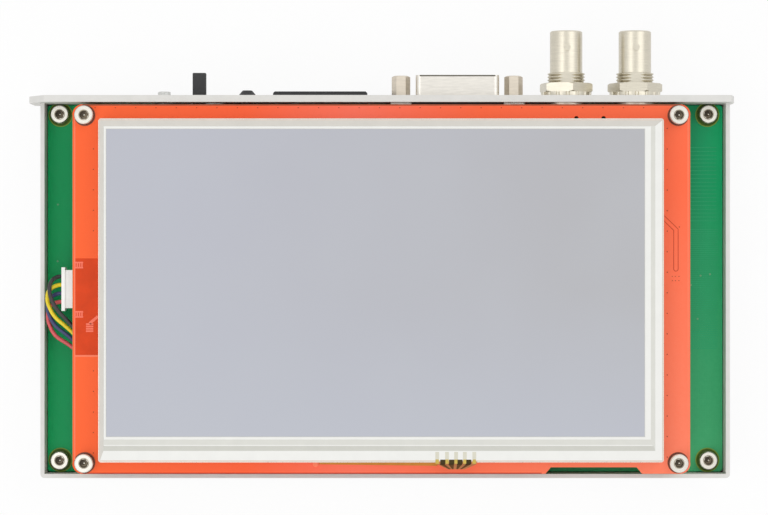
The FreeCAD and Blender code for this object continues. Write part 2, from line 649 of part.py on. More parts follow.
def front_panel():
    left = -HALF_LENGTH - PANEL_WING_LEFT
    right = HALF_LENGTH + PANEL_WING_RIGHT
    outline = [
        V(left, PANEL_IN, FOOT_HEIGHT),
        V(right, PANEL_IN, FOOT_HEIGHT),
        V(right, PANEL_IN, PANEL_TOP - RIGHT_DROP),
        V(right - RIGHT_SLOPE, PANEL_IN, PANEL_TOP),
        V(left + WING_SLOPE, PANEL_IN, PANEL_TOP),
        V(left, PANEL_IN, PANEL_TOP - WING_DROP),
    ]
    plate = extrude(outline, V(0, PANEL_SHEET, 0))
    y0 = PANEL_IN - THROUGH
    y1 = PANEL_OUT + THROUGH
    openings = [rod(LED_R + PANEL_GAP, V(LED_X, y0, LED_Z), V(LED_X, y1, LED_Z))]
    openings.append(rod(BUTTON_R + PANEL_GAP, V(BUTTON_X, y0, BUTTON_Z), V(BUTTON_X, y1, BUTTON_Z)))
    slot_half = SWITCH_SLOT_HALF + PANEL_GAP
    slot_rise = SWITCH_SLOT_RISE + PANEL_GAP
    openings.append(block(
        SWITCH_MIDDLE - slot_half, SWITCH_MIDDLE + slot_half, y0, y1,
        SWITCH_Z - slot_rise, SWITCH_Z + slot_rise,
    ))
    card_half = CARD_WIDTH / 2 + PANEL_GAP
    openings.append(block(
        CARD_X - card_half, CARD_X + card_half, y0, y1,
        MAIN_TOP - PANEL_GAP, MAIN_TOP + CARD_HEIGHT + PANEL_GAP,
    ))
    flange_half = DSUB_FLANGE[0] / 2 + PANEL_GAP
    flange_rise = DSUB_FLANGE[1] / 2 + PANEL_GAP
    openings.append(block(
        DSUB_X - flange_half, DSUB_X + flange_half, y0, y1,
        DSUB_Z - flange_rise, DSUB_Z + flange_rise,
    ))
    for x in BNC_PLACES:
        hole = rod(BNC_THREAD_R + FIT_GAP, V(x, y0, BNC_Z), V(x, y1, BNC_Z))
        flat = BNC_Z + BNC_FLAT + FIT_GAP
        above = block(x - BNC_WASHER_R, x + BNC_WASHER_R, y0, y1, flat, flat + BNC_WASHER_R)
        openings.append(hole.cut(above))
    for x in TAB_POSITIONS:
        openings.append(rod(M25_R + FIT_GAP, V(x, y0, TAB_Z), V(x, y1, TAB_Z)))
        openings.append(Part.makeCone(
            M25_R + FIT_GAP, M25_HEAD_R + FIT_GAP, M25_HEAD_R - M25_R,
            V(x, PANEL_OUT - (M25_HEAD_R - M25_R), TAB_Z), FORWARD,
        ))
    return cut(plate, openings)


def panel_screws():
    screws = []
    head_h = M25_HEAD_R - M25_R
    for x in TAB_POSITIONS:
        seat = PANEL_OUT - head_h
        head = Part.makeCone(M25_R, M25_HEAD_R, head_h, V(x, seat, TAB_Z), FORWARD)
        shank = rod(M25_R, V(x, PANEL_IN - SHEET - M25_REACH, TAB_Z), V(x, seat, TAB_Z))
        deep = V(x, PANEL_OUT - M25_SOCKET_DEPTH, TAB_Z)
        drive = polygon_bar(M25_SOCKET_AF, 6, deep, V(x, PANEL_OUT + THROUGH, TAB_Z))
        screws.append(fuse(head, shank).cut(drive))
    return screws


def foot_places():
    reach = (TRAY_LENGTH - 2 * FOOT_INSET, CASE_DEPTH - 2 * FOOT_INSET)
    return corners(reach, (0.0, 0.0))


def rubber_feet():
    feet = []
    for x, y in foot_places():
        foot = Part.makeCone(FOOT_R, FOOT_R + FOOT_FLARE, FOOT_HEIGHT, V(x, y, 0))
        feet.append(foot.makeFillet(FOOT_EDGE_R, [foot.Edges[2]]))
    return feet


def standoff_screws():
    screws = []
    for x, y in corners(MAIN_HOLES, MAIN_HOLE_SHIFT):
        low = FOOT_HEIGHT - PAN_HEAD_H
        head = Part.makeCylinder(M3_HEAD_R, PAN_HEAD_H, V(x, y, low))
        head = head.makeFillet(PAN_EDGE_R, [head.Edges[2]])
        shank = Part.makeCylinder(M3_R, SHEET + PAN_BITE, V(x, y, FOOT_HEIGHT))
        drive = polygon_bar(PAN_SOCKET_AF, 6, V(x, y, low - THROUGH), V(x, y, low + PAN_SOCKET_DEPTH))
        screws.append(fuse(head, shank).cut(drive))
    return screws


# ---- circuit boards -------------------------------------------------------------
def header_places():
    places = []
    for row in (-0.5, 0.5):
        for step in range(HEADER_COUNT):
            x = HEADER_CENTRE[0] + row * HEADER_PITCH
            y = HEADER_CENTRE[1] + (step - (HEADER_COUNT - 1) / 2) * HEADER_PITCH
            places.append((x, y))
    return places


def dsub_contact_places():
    """(x, z, tail y) of the contacts in the upper row, then in the lower."""
    places = []
    for count, side in ((DSUB_UPPER, 1), (DSUB_LOWER, -1)):
        for step in range(count):
            x = DSUB_X + (step - (count - 1) / 2) * DSUB_PITCH
            tail = DSUB_TAIL_Y[1] if side > 0 else DSUB_TAIL_Y[0]
            places.append((x, DSUB_Z + side * DSUB_ROW_GAP / 2, tail))
    return places


def bracket_places():
    return (DSUB_X - JACK_SPACING / 2, DSUB_X + JACK_SPACING / 2)


def main_board():
    board = slab(MAIN_SHIFT, MAIN_LENGTH, MAIN_WIDTH, MAIN_BOTTOM, MAIN_TOP)
    board = rounded(board, MAIN_CORNER_R, lambda middle, run: upright(run))
    z0 = MAIN_BOTTOM - THROUGH
    z1 = MAIN_TOP + THROUGH
    holes = []
    for x, y in corners(MAIN_HOLES, MAIN_HOLE_SHIFT) + corners(LCD_PCB_HOLES, LCD_PCB_SHIFT):
        holes.append(rod(M3_HOLE_R, V(x, y, z0), V(x, y, z1)))
    for x, _, tail in dsub_contact_places():
        holes.append(rod(DSUB_TAIL_HOLE_R, V(x, tail, z0), V(x, tail, z1)))
    peg_y = PANEL_IN - PEG_BACK
    for x in bracket_places():
        holes.append(rod(PEG_R + PEG_GAP, V(x, peg_y, z0), V(x, peg_y, z1)))
    return cut(board, holes)


def display_board():
    board = slab(LCD_PCB_SHIFT, LCD_PCB_LENGTH, LCD_PCB_WIDTH, RED_BOTTOM, RED_TOP)
    board = rounded(board, LCD_PCB_CORNER_R, lambda middle, run: upright(run))
    z0 = RED_BOTTOM - THROUGH
    z1 = RED_TOP + THROUGH
    low = LCD_PCB_SHIFT[1] - LCD_PCB_WIDTH / 2
    half = NOTCH_LENGTH / 2
    notch = extrude([
        V(NOTCH_CENTRE - half, low - THROUGH, z0),
        V(NOTCH_CENTRE + half, low - THROUGH, z0),
        V(NOTCH_CENTRE + half, low, z0),
        V(NOTCH_CENTRE + half - NOTCH_FLARE, low + NOTCH_DEPTH, z0),
        V(NOTCH_CENTRE - half + NOTCH_FLARE, low + NOTCH_DEPTH, z0),
        V(NOTCH_CENTRE - half, low, z0),
    ], V(0, 0, z1 - z0))
    tools = [notch, slab(FLEX_SLOT_CENTRE, FLEX_SLOT[0], FLEX_SLOT[1], z0, z1)]
    for hx, hy in corners(LCD_PCB_HOLES, LCD_PCB_SHIFT):
        tools.append(rod(M3_HOLE_R, V(hx, hy, z0), V(hx, hy, z1)))
    hy = LCD_SHIFT[1] + LCD_WIDTH / 2 + LOCATING_STEP
    for step in LOCATING_HOLES:
        hx = LCD_PCB_RIGHT - step
        tools.append(rod(LOCATING_HOLE_R, V(hx, hy, z0), V(hx, hy, z1)))
    return cut(board, tools)


def header_socket():
    length = HEADER_COUNT * HEADER_PITCH
    top = MAIN_TOP + SOCKET_HEIGHT
    body = slab(HEADER_CENTRE, 2 * HEADER_PITCH, length, MAIN_TOP, top)
    hole = HEADER_PIN + 2 * HEADER_HOLE_GAP
    pockets = []
    for place in header_places():
        pockets.append(slab(place, hole, hole, MAIN_TOP + HEADER_FLOOR, top + THROUGH))
    return cut(body, pockets)


def header_base():
    length = HEADER_COUNT * HEADER_PITCH
    low = RED_BOTTOM - BASE_HEIGHT
    body = slab(HEADER_CENTRE, 2 * HEADER_PITCH, length, low, RED_BOTTOM)
    hole = HEADER_PIN + 2 * THREAD_GAP
    pockets = []
    for place in header_places():
        pockets.append(slab(place, hole, hole, low - THROUGH, RED_BOTTOM + THROUGH))
    return cut(body, pockets)


def header_pins():
    pins = []
    for place in header_places():
        pins.append(slab(place, HEADER_PIN, HEADER_PIN, MAIN_TOP + PIN_LIFT, RED_BOTTOM))
    return pins


# ---- display --------------------------------------------------------------------
def display_frame():
    outer = slab(LCD_SHIFT, LCD_LENGTH, LCD_WIDTH, LCD_BOTTOM, LCD_TOP)
    outer = rounded(outer, LCD_CORNER_R, lambda middle, run: upright(run))
    return outer.cut(lcd_pocket(LCD_BOTTOM + LCD_FLOOR, LCD_TOP + THROUGH, 0.0))


def lcd_pocket(z0, z1, gap):
    """The room inside the frame, or what fills it with a gap all round."""
    length = LCD_LENGTH - 2 * LCD_WALL - 2 * gap
    width = LCD_WIDTH - 2 * LCD_WALL - 2 * gap
    return slab(LCD_SHIFT, length, width, z0, z1)


def mounting_tape():
    strips = []
    length = LCD_LENGTH - 2 * TAPE_END
    for side in (-1, 1):
        centre = (LCD_SHIFT[0], LCD_SHIFT[1] + side * (LCD_WIDTH / 2 - TAPE_INSET))
        strips.append(slab(centre, length, TAPE_WIDTH, RED_TOP, LCD_BOTTOM))
    return strips


def touch_sheet():
    length = LCD_LENGTH - 2 * TOUCH_INSET
    width = LCD_WIDTH - 2 * TOUCH_INSET
    sheet = slab(LCD_SHIFT, length, width, LCD_TOP, LCD_TOP + TOUCH)
    return rounded(sheet, TOUCH_CORNER_R, lambda middle, run: upright(run))


def touch_flex():
    """Tail that comes down the display's edge onto the board, with its side strip."""
    edge = LCD_SHIFT[1] - LCD_WIDTH / 2
    x0 = FLEX_CENTRE - FLEX_WIDTH / 2
    x1 = FLEX_CENTRE + FLEX_WIDTH / 2
    top = RED_TOP + FLEX
    down = block(x0, x1, edge - FLEX, edge, RED_TOP, LCD_TOP + FLEX_RISE)
    foot = block(x0, x1, edge - FLEX_FOOT, edge - FLEX, RED_TOP, top)
    strip = block(x0 - FLEX_STRIP_LENGTH, x0, edge - FLEX_STRIP_WIDTH, edge - FLEX, RED_TOP, top)
    return fuse(down, foot, strip)


def lcd_flex():
    """Ribbon from the display's back, down through the board's slot, to its connector."""
    x, y = FLEX_SLOT_CENTRE
    half = FLEX_SLOT[0] / 2 - RIBBON_SIDE_GAP
    low = RED_BOTTOM - RIBBON_DROP
    down = block(x - half, x + half, y - FLEX / 2, y + FLEX / 2, low, LCD_BOTTOM)
    back = block(x - half, x + half, y + FLEX / 2, y + RIBBON_RETURN, low, low + FLEX)
    return fuse(down, back)


def flex_connector():
    x, y = FLEX_SLOT_CENTRE
    half = FLEX_SLOT[0] / 2 + RIBBON_SOCKET_SIDE
    near = y + RIBBON_SOCKET_NEAR
    far = near + RIBBON_SOCKET_DEPTH
    body = block(x - half, x + half, near, far, RED_BOTTOM - RIBBON_SOCKET_T, RED_BOTTOM)
    gap_half = FLEX_SLOT[0] / 2 - RIBBON_SIDE_GAP + FIT_GAP
    low = RED_BOTTOM - RIBBON_DROP - FIT_GAP
    slot = block(
        x - gap_half, x + gap_half, near - THROUGH, y + RIBBON_RETURN + FIT_GAP,
        low, low + FLEX + 2 * FIT_GAP,
    )
    return body.cut(slot)


# ---- electronics on the boards --------------------------------------------------
def chip(place, size, height):
    """Flat chip package with legs on four sides, standing on the main board."""
    top = MAIN_TOP + height
    body = slab(place, size, size, MAIN_TOP + CHIP_LIFT, top)
    upper = [edge for edge in body.Edges if edge.BoundBox.ZMin > top - CHIP_BEVEL]
    body = body.makeChamfer(CHIP_BEVEL, upper)
    reach = size + 2 * LEG_REACH
    inside = size - 2 * LEG_UNDER
    legs = slab(place, reach, reach, MAIN_TOP, MAIN_TOP + LEG_T)
    hollow = slab(place, inside, inside, MAIN_TOP - THROUGH, MAIN_TOP + THROUGH)
    return fuse(body, legs.cut(hollow))


def can(x, y, length, width):
    top = MAIN_TOP + CAN_HEIGHT
    body = slab((x, y), length, width, MAIN_TOP, top)
    body = rounded(body, CAN_CORNER_R, lambda middle, run: upright(run))
    inside = slab(
        (x, y), length - 2 * CAN_WALL, width - 2 * CAN_WALL, MAIN_TOP - THROUGH, top - CAN_WALL,
    )
    return body.cut(inside)


def capacitor(x):
    reach, base_h = CAPACITOR_BASE
    side = 2 * (CAPACITOR_R + reach)
    base = slab((x, BACK_ROW_Y), side, side, MAIN_TOP, MAIN_TOP + base_h)
    foot = V(x, BACK_ROW_Y, MAIN_TOP + base_h)
    drum = Part.makeCylinder(CAPACITOR_R, CAPACITOR_H - base_h, foot)
    drum = drum.makeFillet(CAPACITOR_EDGE_R, [drum.Edges[0]])
    return fuse(base, drum)


def coil(x):
    body = slab((x, BACK_ROW_Y), COIL_SIZE, COIL_SIZE, MAIN_TOP, MAIN_TOP + COIL_H)
    return rounded(body, COIL_CORNER_R, lambda middle, run: upright(run))


def crystal():
    length, width, height = CRYSTAL_SIZE
    return slab(CRYSTAL, length, width, MAIN_TOP, MAIN_TOP + height)


def display_controller():
    side = CONTROLLER_SIZE
    return slab(CONTROLLER, side, side, RED_BOTTOM - CONTROLLER_T, RED_BOTTOM)


# ---- light, switch and button ---------------------------------------------------
def led_lens():
    tip = PANEL_OUT + LED_PROUD
    root = PANEL_IN - HOUSING_BACK + LED_ROOT
    across, along = LED_ROUNDING
    profile = [
        (0, root), (LED_R, root), (LED_R, tip - along),
        (LED_R - across, tip - LED_CROWN), (0, tip),
    ]
    return turned(profile, V(LED_X, 0, LED_Z))


def led_housing():
    half = LED_R + LED_WALL
    back = PANEL_IN - HOUSING_BACK
    body = block(
        LED_X - half, LED_X + half, back, PANEL_IN - SLIDE_GAP, MAIN_TOP, LED_Z + LED_R + LED_ROOF,
    )
    start = V(LED_X, back + LED_ROOT - FIT_GAP, LED_Z)
    return body.cut(rod(LED_R + FIT_GAP, start, V(LED_X, PANEL_OUT, LED_Z)))


def switch_frame():
    """Folded metal frame with a slot for the lever."""
    x = SWITCH_MIDDLE
    half = SWITCH_FRAME_HALF
    front = PANEL_IN - SLIDE_GAP
    back = PANEL_IN - HOUSING_BACK
    body = block(x - half, x + half, back, front, MAIN_TOP, SWITCH_TOP)
    inside = block(
        x - half - THROUGH, x + half + THROUGH, back - THROUGH, front - SWITCH_FRAME_T,
        MAIN_TOP - THROUGH, SWITCH_TOP - SWITCH_FRAME_T,
    )
    slot = block(
        x - SWITCH_SLOT_HALF, x + SWITCH_SLOT_HALF, back, front + THROUGH,
        SWITCH_Z - SWITCH_SLOT_RISE, SWITCH_Z + SWITCH_SLOT_RISE,
    )
    return body.cut(inside).cut(slot)


def switch_base():
    """Moulded base behind the lever, with the cavity that its foot slides in."""
    x = SWITCH_MIDDLE
    half = SWITCH_FRAME_HALF - SWITCH_BASE_INSET
    back = PANEL_IN - HOUSING_BACK
    front = PANEL_IN - SLIDE_GAP - SWITCH_FRAME_T - FIT_GAP
    top = SWITCH_TOP - SWITCH_FRAME_T - FIT_GAP
    body = block(x - half, x + half, back, front, MAIN_TOP, top)
    room = SWITCH_SLOT_HALF + LEVER_SHOULDER
    cavity = block(
        x - room, x + room, LEVER_ROOT - SLIDE_GAP, front + THROUGH,
        SWITCH_Z - SWITCH_SLOT_RISE, SWITCH_Z + SWITCH_SLOT_RISE,
    )
    return body.cut(cavity)


def switch_lever():
    half = SWITCH_LEVER / 2
    low = SWITCH_Z - SWITCH_LEVER_T / 2
    high = SWITCH_Z + SWITCH_LEVER_T / 2
    tip = PANEL_OUT + SWITCH_PROUD
    stem = block(SWITCH_X - half, SWITCH_X + half, LEVER_ROOT, tip, low, high)
    stem = stem.makeFillet(LEVER_EDGE_R, [edge for edge in stem.Edges if edge.BoundBox.YMin > PANEL_OUT])
    half += LEVER_SHOULDER
    foot = block(SWITCH_X - half, SWITCH_X + half, LEVER_ROOT, LEVER_ROOT + LEVER_FOOT_T, low, high)
    return fuse(stem, foot)


def button_cap():
    tip = PANEL_OUT + BUTTON_PROUD
    collar = PANEL_IN - BUTTON_COLLAR
    root = PANEL_IN - BUTTON_STEM_DEPTH
    profile = [
        (0, root), (STEM_R, root), (STEM_R, collar), (BUTTON_R, collar),
        (BUTTON_R, PANEL_OUT + BUTTON_RIM), (BUTTON_TIP_R, tip - BUTTON_TIP_EDGE),
        (BUTTON_TIP_R - BUTTON_TIP_EDGE, tip), (0, tip),
    ]
    return turned(profile, V(BUTTON_X, 0, BUTTON_Z))


def button_housing():
    half = BUTTON_R + BUTTON_WALL
    front = PANEL_IN - BUTTON_SEAT
    body = block(
        BUTTON_X - half, BUTTON_X + half, PANEL_IN - HOUSING_BACK, front, MAIN_TOP, BUTTON_Z + half,
    )
    deep = PANEL_IN - BUTTON_STEM_DEPTH - BUTTON_TRAVEL - SLIDE_GAP
    bore = rod(STEM_R + FIT_GAP, V(BUTTON_X, deep, BUTTON_Z), V(BUTTON_X, front + THROUGH, BUTTON_Z))
    return body.cut(bore)


# ---- memory card socket ---------------------------------------------------------
def card_body():
    y1 = PANEL_OUT + CARD_PROUD
    half = CARD_WIDTH / 2
    body = block(CARD_X - half, CARD_X + half, y1 - CARD_DEPTH, y1, MAIN_TOP, MAIN_TOP + CARD_HEIGHT)
    front = [edge for edge in body.Edges if upright(edge.tangentAt(0)) and edge.BoundBox.YMin > PANEL_OUT]
    body = body.makeChamfer(CARD_BEVEL, front)
    slot_half = half - CARD_SIDE_WALL
    low = CARD_Z - CARD_SLOT_H / 2 - CARD_SLOT_DROP
    slot = block(
        CARD_X - slot_half, CARD_X + slot_half, y1 - CARD_SLOT_DEPTH, y1 + THROUGH,
        low, low + CARD_SLOT_H,
    )
    return body.cut(slot)


def card_cover():
    y1 = PANEL_IN - COVER_SETBACK
    y0 = y1 - COVER_LENGTH
    half = CARD_WIDTH / 2
    outer = half + COVER_SHEET
    top = MAIN_TOP + CARD_HEIGHT
    plate = block(CARD_X - outer, CARD_X + outer, y0, y1, MAIN_TOP + COVER_LIFT, top + COVER_SHEET)
    inside = block(CARD_X - half, CARD_X + half, y0 - THROUGH, y1 + THROUGH, MAIN_TOP, top)
    return plate.cut(inside)


# ---- D connector ----------------------------------------------------------------
def dsub_shell():
    y_tip = PANEL_OUT + DSUB_PROUD
    y_flange = PANEL_OUT - DSUB_FLANGE_T
    skirt = dsub_block(0.0, y_flange, y_tip, DSUB_CORNER_R)
    flange = block(
        DSUB_X - DSUB_FLANGE[0] / 2, DSUB_X + DSUB_FLANGE[0] / 2, y_flange, PANEL_OUT,
        DSUB_Z - DSUB_FLANGE[1] / 2, DSUB_Z + DSUB_FLANGE[1] / 2,
    )
    flange = rounded(flange, DSUB_FLANGE_CORNER_R, lambda middle, run: abs(run.y) > 1e-3)
    body = fuse(flange, skirt)
    tools = [dsub_block(-DSUB_WALL, y_flange - THROUGH, y_tip + THROUGH, DSUB_CORNER_R - DSUB_WALL)]
    for x in bracket_places():
        tools.append(rod(JACK_THREAD_R + FIT_GAP, V(x, y_flange - THROUGH, DSUB_Z), V(x, y_tip, DSUB_Z)))
    return cut(body, tools)


def dsub_insulator():
    y_flange = PANEL_OUT - DSUB_FLANGE_T
    y_face = PANEL_OUT + DSUB_PROUD - DSUB_BLOCK_SETBACK
    inset = DSUB_WALL + FIT_GAP
    front = dsub_block(-inset, y_flange, y_face, DSUB_CORNER_R - inset)
    half = JACK_SPACING / 2 - BRACKET_HALF - DSUB_BLOCK_SIDE_GAP
    y_back = PANEL_IN - DSUB_BLOCK_BACK
    rear = block(
        DSUB_X - half, DSUB_X + half, y_back, y_flange,
        MAIN_TOP + DSUB_BLOCK_LIFT, DSUB_Z + DSUB_BLOCK_RISE,
    )
    holes = []
    for x, z, _ in dsub_contact_places():
        start = V(x, y_back - THROUGH, z)
        holes.append(rod(DSUB_SOCKET_R + THREAD_GAP, start, V(x, y_face + THROUGH, z)))
    return cut(fuse(front, rear), holes)


def dsub_contacts():
    contacts = []
    half = DSUB_TAIL_HALF
    y_back = PANEL_IN - DSUB_BLOCK_BACK
    y_tip = PANEL_OUT + DSUB_PROUD
    low = MAIN_BOTTOM - DSUB_TAIL_REACH
    for x, z, tail in dsub_contact_places():
        tube = rod(DSUB_SOCKET_R, V(x, y_back, z), V(x, y_tip - DSUB_SOCKET_SETBACK, z))
        bore = rod(DSUB_SOCKET_BORE_R, V(x, PANEL_OUT, z), V(x, y_tip, z))
        arm = block(x - half, x + half, tail - half, y_back + FIT_GAP, z - half, z + half)
        leg = block(x - half, x + half, tail - half, tail + half, low, z + half)
        contacts.append(fuse(tube.cut(bore), arm, leg))
    return contacts


def dsub_brackets():
    brackets = []
    y1 = PANEL_OUT - DSUB_FLANGE_T
    y_wall = y1 - BRACKET_DEPTH
    y_back = PANEL_IN - DSUB_TAIL_BACK
    peg_y = PANEL_IN - PEG_BACK
    sole_top = MAIN_TOP + BRACKET_SOLE
    for x in bracket_places():
        x0 = x - BRACKET_HALF
        x1 = x + BRACKET_HALF
        wall = block(x0, x1, y_wall, y1, MAIN_TOP, DSUB_Z + BRACKET_RISE)
        sole = block(x0, x1, y_back, y_wall, MAIN_TOP, sole_top)
        peg = rod(PEG_R, V(x, peg_y, MAIN_BOTTOM - PEG_REACH), V(x, peg_y, sole_top))
        start = V(x, y_wall - THROUGH, DSUB_Z)
        thread = rod(JACK_THREAD_R + THREAD_GAP, start, V(x, y1 + THROUGH, DSUB_Z))
        brackets.append(fuse(wall, sole, peg).cut(thread))
    return brackets


def jackscrews():
    screws = []
    y_tip = PANEL_OUT + JACK_LENGTH
    inward, back = JACK_BEVEL
    ring = [
        (0, PANEL_OUT), (JACK_AF, PANEL_OUT), (JACK_AF, y_tip - back),
        (JACK_AF / 2 - inward, y_tip), (0, y_tip),
    ]
    for x in bracket_places():
        seat = V(x, PANEL_OUT, DSUB_Z)
        head = polygon_bar(JACK_AF, 6, seat, V(x, y_tip, DSUB_Z))
        head = head.common(turned(ring, V(x, 0, DSUB_Z)))
        stud = rod(JACK_THREAD_R, V(x, PANEL_OUT - DSUB_FLANGE_T - JACK_STUD, DSUB_Z), seat)
        deep = V(x, y_tip - JACK_HOLE_DEPTH, DSUB_Z)
        hole = rod(JACK_HOLE_R, deep, V(x, y_tip + THROUGH, DSUB_Z))
        screws.append(fuse(head, stud).cut(hole))
    return screws


# ---- bayonet coaxial connectors -------------------------------------------------
def bnc_body(x):
    """Metal body, its inside bored for the bayonet plug."""
    back = PANEL_IN - BNC_REAR
    step = PANEL_IN - BNC_SHOULDER_T
    thread_end = PANEL_OUT + BNC_THREAD_OUT
    stop = thread_end + BNC_BORE_STOP
    profile = [
        (BNC_CORE_R, back), (BNC_REAR_R, back), (BNC_REAR_R, step),
        (BNC_SHOULDER_R, step), (BNC_SHOULDER_R, PANEL_IN), (BNC_THREAD_R, PANEL_IN),
    ]
    start = PANEL_OUT + BNC_WASHER_T
    for turn in range(int((thread_end - start) / BNC_THREAD_PITCH)):
        for share, depth in ((0.1, 0.0), (0.5, BNC_THREAD_DEPTH), (0.9, 0.0)):
            profile.append((BNC_THREAD_R - depth, start + (turn + share) * BNC_THREAD_PITCH))
    profile += [
        (BNC_THREAD_R, thread_end - BNC_THREAD_EDGE), (BNC_BARREL_R, thread_end),
        (BNC_BARREL_R, BNC_TIP - BNC_EDGE), (BNC_BARREL_R - BNC_EDGE, BNC_TIP),
        (BNC_BORE_R, BNC_TIP), (BNC_BORE_R, stop), (BNC_CORE_R, stop),
    ]
    body = turned(profile, V(x, 0, BNC_Z))
    wide = BNC_SHOULDER_R + THROUGH
    body = body.cut(block(x - wide, x + wide, PANEL_IN, thread_end, BNC_Z + BNC_FLAT, BNC_Z + wide))
    stud_y = BNC_TIP - BNC_STUD_SETBACK
    middle = (BNC_BORE_R + BNC_BARREL_R) / 2
    studs = []
    for side in (-1, 1):
        root = V(x, stud_y, BNC_Z + side * middle)
        studs.append(rod(BNC_STUD_R, root, V(x, stud_y, BNC_Z + side * BNC_STUD_REACH)))
    return fuse(body, *studs)


def bnc_insulator(x):
    back = PANEL_IN - BNC_REAR
    stop = PANEL_OUT + BNC_THREAD_OUT + BNC_BORE_STOP
    tip = BNC_TIP - DIELECTRIC_SETBACK
    bore = CONTACT_R + THREAD_GAP
    outer = BNC_CORE_R - THREAD_GAP
    profile = [
        (bore, back), (outer, back), (outer, stop), (DIELECTRIC_R, stop), (DIELECTRIC_R, tip), (bore, tip),
    ]
    return turned(profile, V(x, 0, BNC_Z))


def bnc_contact(x):
    tip = BNC_TIP - CONTACT_SETBACK
    pin = rod(CONTACT_R, V(x, BNC_LEAD_Y, BNC_Z), V(x, tip, BNC_Z))
    bore = rod(CONTACT_BORE_R, V(x, tip - CONTACT_BORE, BNC_Z), V(x, BNC_TIP, BNC_Z))
    pot_end = V(x, BNC_LEAD_Y + SOLDER_POT, BNC_Z)
    pot = rod(CONTACT_BORE_R, V(x, BNC_LEAD_Y - THROUGH, BNC_Z), pot_end)
    return cut(pin, [bore, pot])


def bnc_lead(x):
    """Bare wire from the solder pot down to the main board."""
    upright_y = BNC_LEAD_Y - LEAD_DROP
    points = [
        V(x, BNC_LEAD_Y + SOLDER_POT - FIT_GAP, BNC_Z), V(x, upright_y, BNC_Z), V(x, upright_y, MAIN_TOP),
    ]
    return bent_wire(points, CONTACT_BORE_R - THREAD_GAP, [LEAD_BEND])


def bnc_washer(x):
    y0 = PANEL_OUT - THROUGH
    y1 = PANEL_OUT + BNC_WASHER_T + THROUGH
    ring = rod(BNC_WASHER_R, V(x, PANEL_OUT, BNC_Z), V(x, PANEL_OUT + BNC_WASHER_T, BNC_Z))
    tools = [rod(BNC_THREAD_R + PANEL_GAP, V(x, y0, BNC_Z), V(x, y1, BNC_Z))]
    reach = BNC_WASHER_R + BNC_WASHER_NOTCH_OUT
    for step in range(BNC_WASHER_NOTCHES):
        angle = 2 * math.pi * step / BNC_WASHER_NOTCHES
        nx = x + reach * math.cos(angle)
        nz = BNC_Z + reach * math.sin(angle)
        tools.append(rod(BNC_WASHER_NOTCH_R, V(nx, y0, nz), V(nx, y1, nz)))
    return cut(ring, tools)


def bnc_nut(x, turn):
    y0 = PANEL_OUT + BNC_WASHER_T
    y1 = y0 + BNC_NUT_T
    inward, along = BNC_NUT_BEVEL
    nut = polygon_bar(BNC_NUT_AF, 6, V(x, y0, BNC_Z), V(x, y1, BNC_Z), turn)
    corner = BNC_NUT_AF / 2 / math.cos(math.pi / 6)
    wide = corner + BNC_NUT_CORNER
    bevel = [
        (0, y0), (corner - inward, y0), (wide, y0 + along),
        (wide, y1 - along), (corner - inward, y1), (0, y1),
    ]
    nut = nut.common(turned(bevel, V(x, 0, BNC_Z)))
    return nut.cut(rod(BNC_THREAD_R + THREAD_GAP, V(x, y0 - THROUGH, BNC_Z), V(x, y1 + THROUGH, BNC_Z)))


# ---- touch panel's lead: plug, header and four wires ----------------------------
def wire_step(index):
    """How far a wire is from the middle of its row."""
    return ((len(WIRE_NAMES) - 1) / 2 - index) * PLUG_PITCH


def plug_housing():
    flange_t, flange_half, flange_rise = PLUG_FLANGE
    length, half, rise = PLUG_BODY
    body_x = PLUG_LEFT + flange_t
    flange = block(
        PLUG_LEFT, body_x, PLUG_Y - flange_half, PLUG_Y + flange_half,
        PLUG_Z - flange_rise, PLUG_Z + flange_rise,
    )
    body = block(body_x, body_x + length, PLUG_Y - half, PLUG_Y + half, PLUG_Z - rise, PLUG_Z + rise)
    holes = []
    for index in range(len(WIRE_NAMES)):
        y = PLUG_Y + wire_step(index)
        start = V(PLUG_LEFT - THROUGH, y, PLUG_Z)
        holes.append(rod(WIRE_R + FIT_GAP, start, V(PLUG_LEFT + PLUG_BORE, y, PLUG_Z)))
    return cut(fuse(flange, body), holes)


def plug_header():
    length, half, rise = PLUG_BODY
    box_length, box_half, box_drop = HEADER_BOX
    plug_end = PLUG_LEFT + PLUG_FLANGE[0] + length
    x0 = PLUG_LEFT + PLUG_FLANGE[0] + HEADER_BOX_SETBACK
    body = block(
        x0, x0 + box_length, PLUG_Y - box_half, PLUG_Y + box_half, PLUG_Z - box_drop, RED_BOTTOM,
    )
    half += FIT_GAP
    rise += FIT_GAP
    cavity = block(
        x0 - THROUGH, plug_end + FIT_GAP, PLUG_Y - half, PLUG_Y + half, PLUG_Z - rise, PLUG_Z + rise,
    )
    return body.cut(cavity)


def wire_socket():
    """Upright four-way plug and header on the main board."""
    x, y = WIRE_SOCKET
    half_x, half_y = WIRE_SOCKET_HALF
    top = MAIN_TOP + WIRE_SOCKET_H
    body = block(x - half_x, x + half_x, y - half_y, y + half_y, MAIN_TOP, top)
    holes = []
    for index in range(len(WIRE_NAMES)):
        wy = y + wire_step(index)
        start = V(x, wy, top - WIRE_SOCKET_BORE)
        holes.append(rod(WIRE_R + FIT_GAP, start, V(x, wy, top + THROUGH)))
    return cut(body, holes)


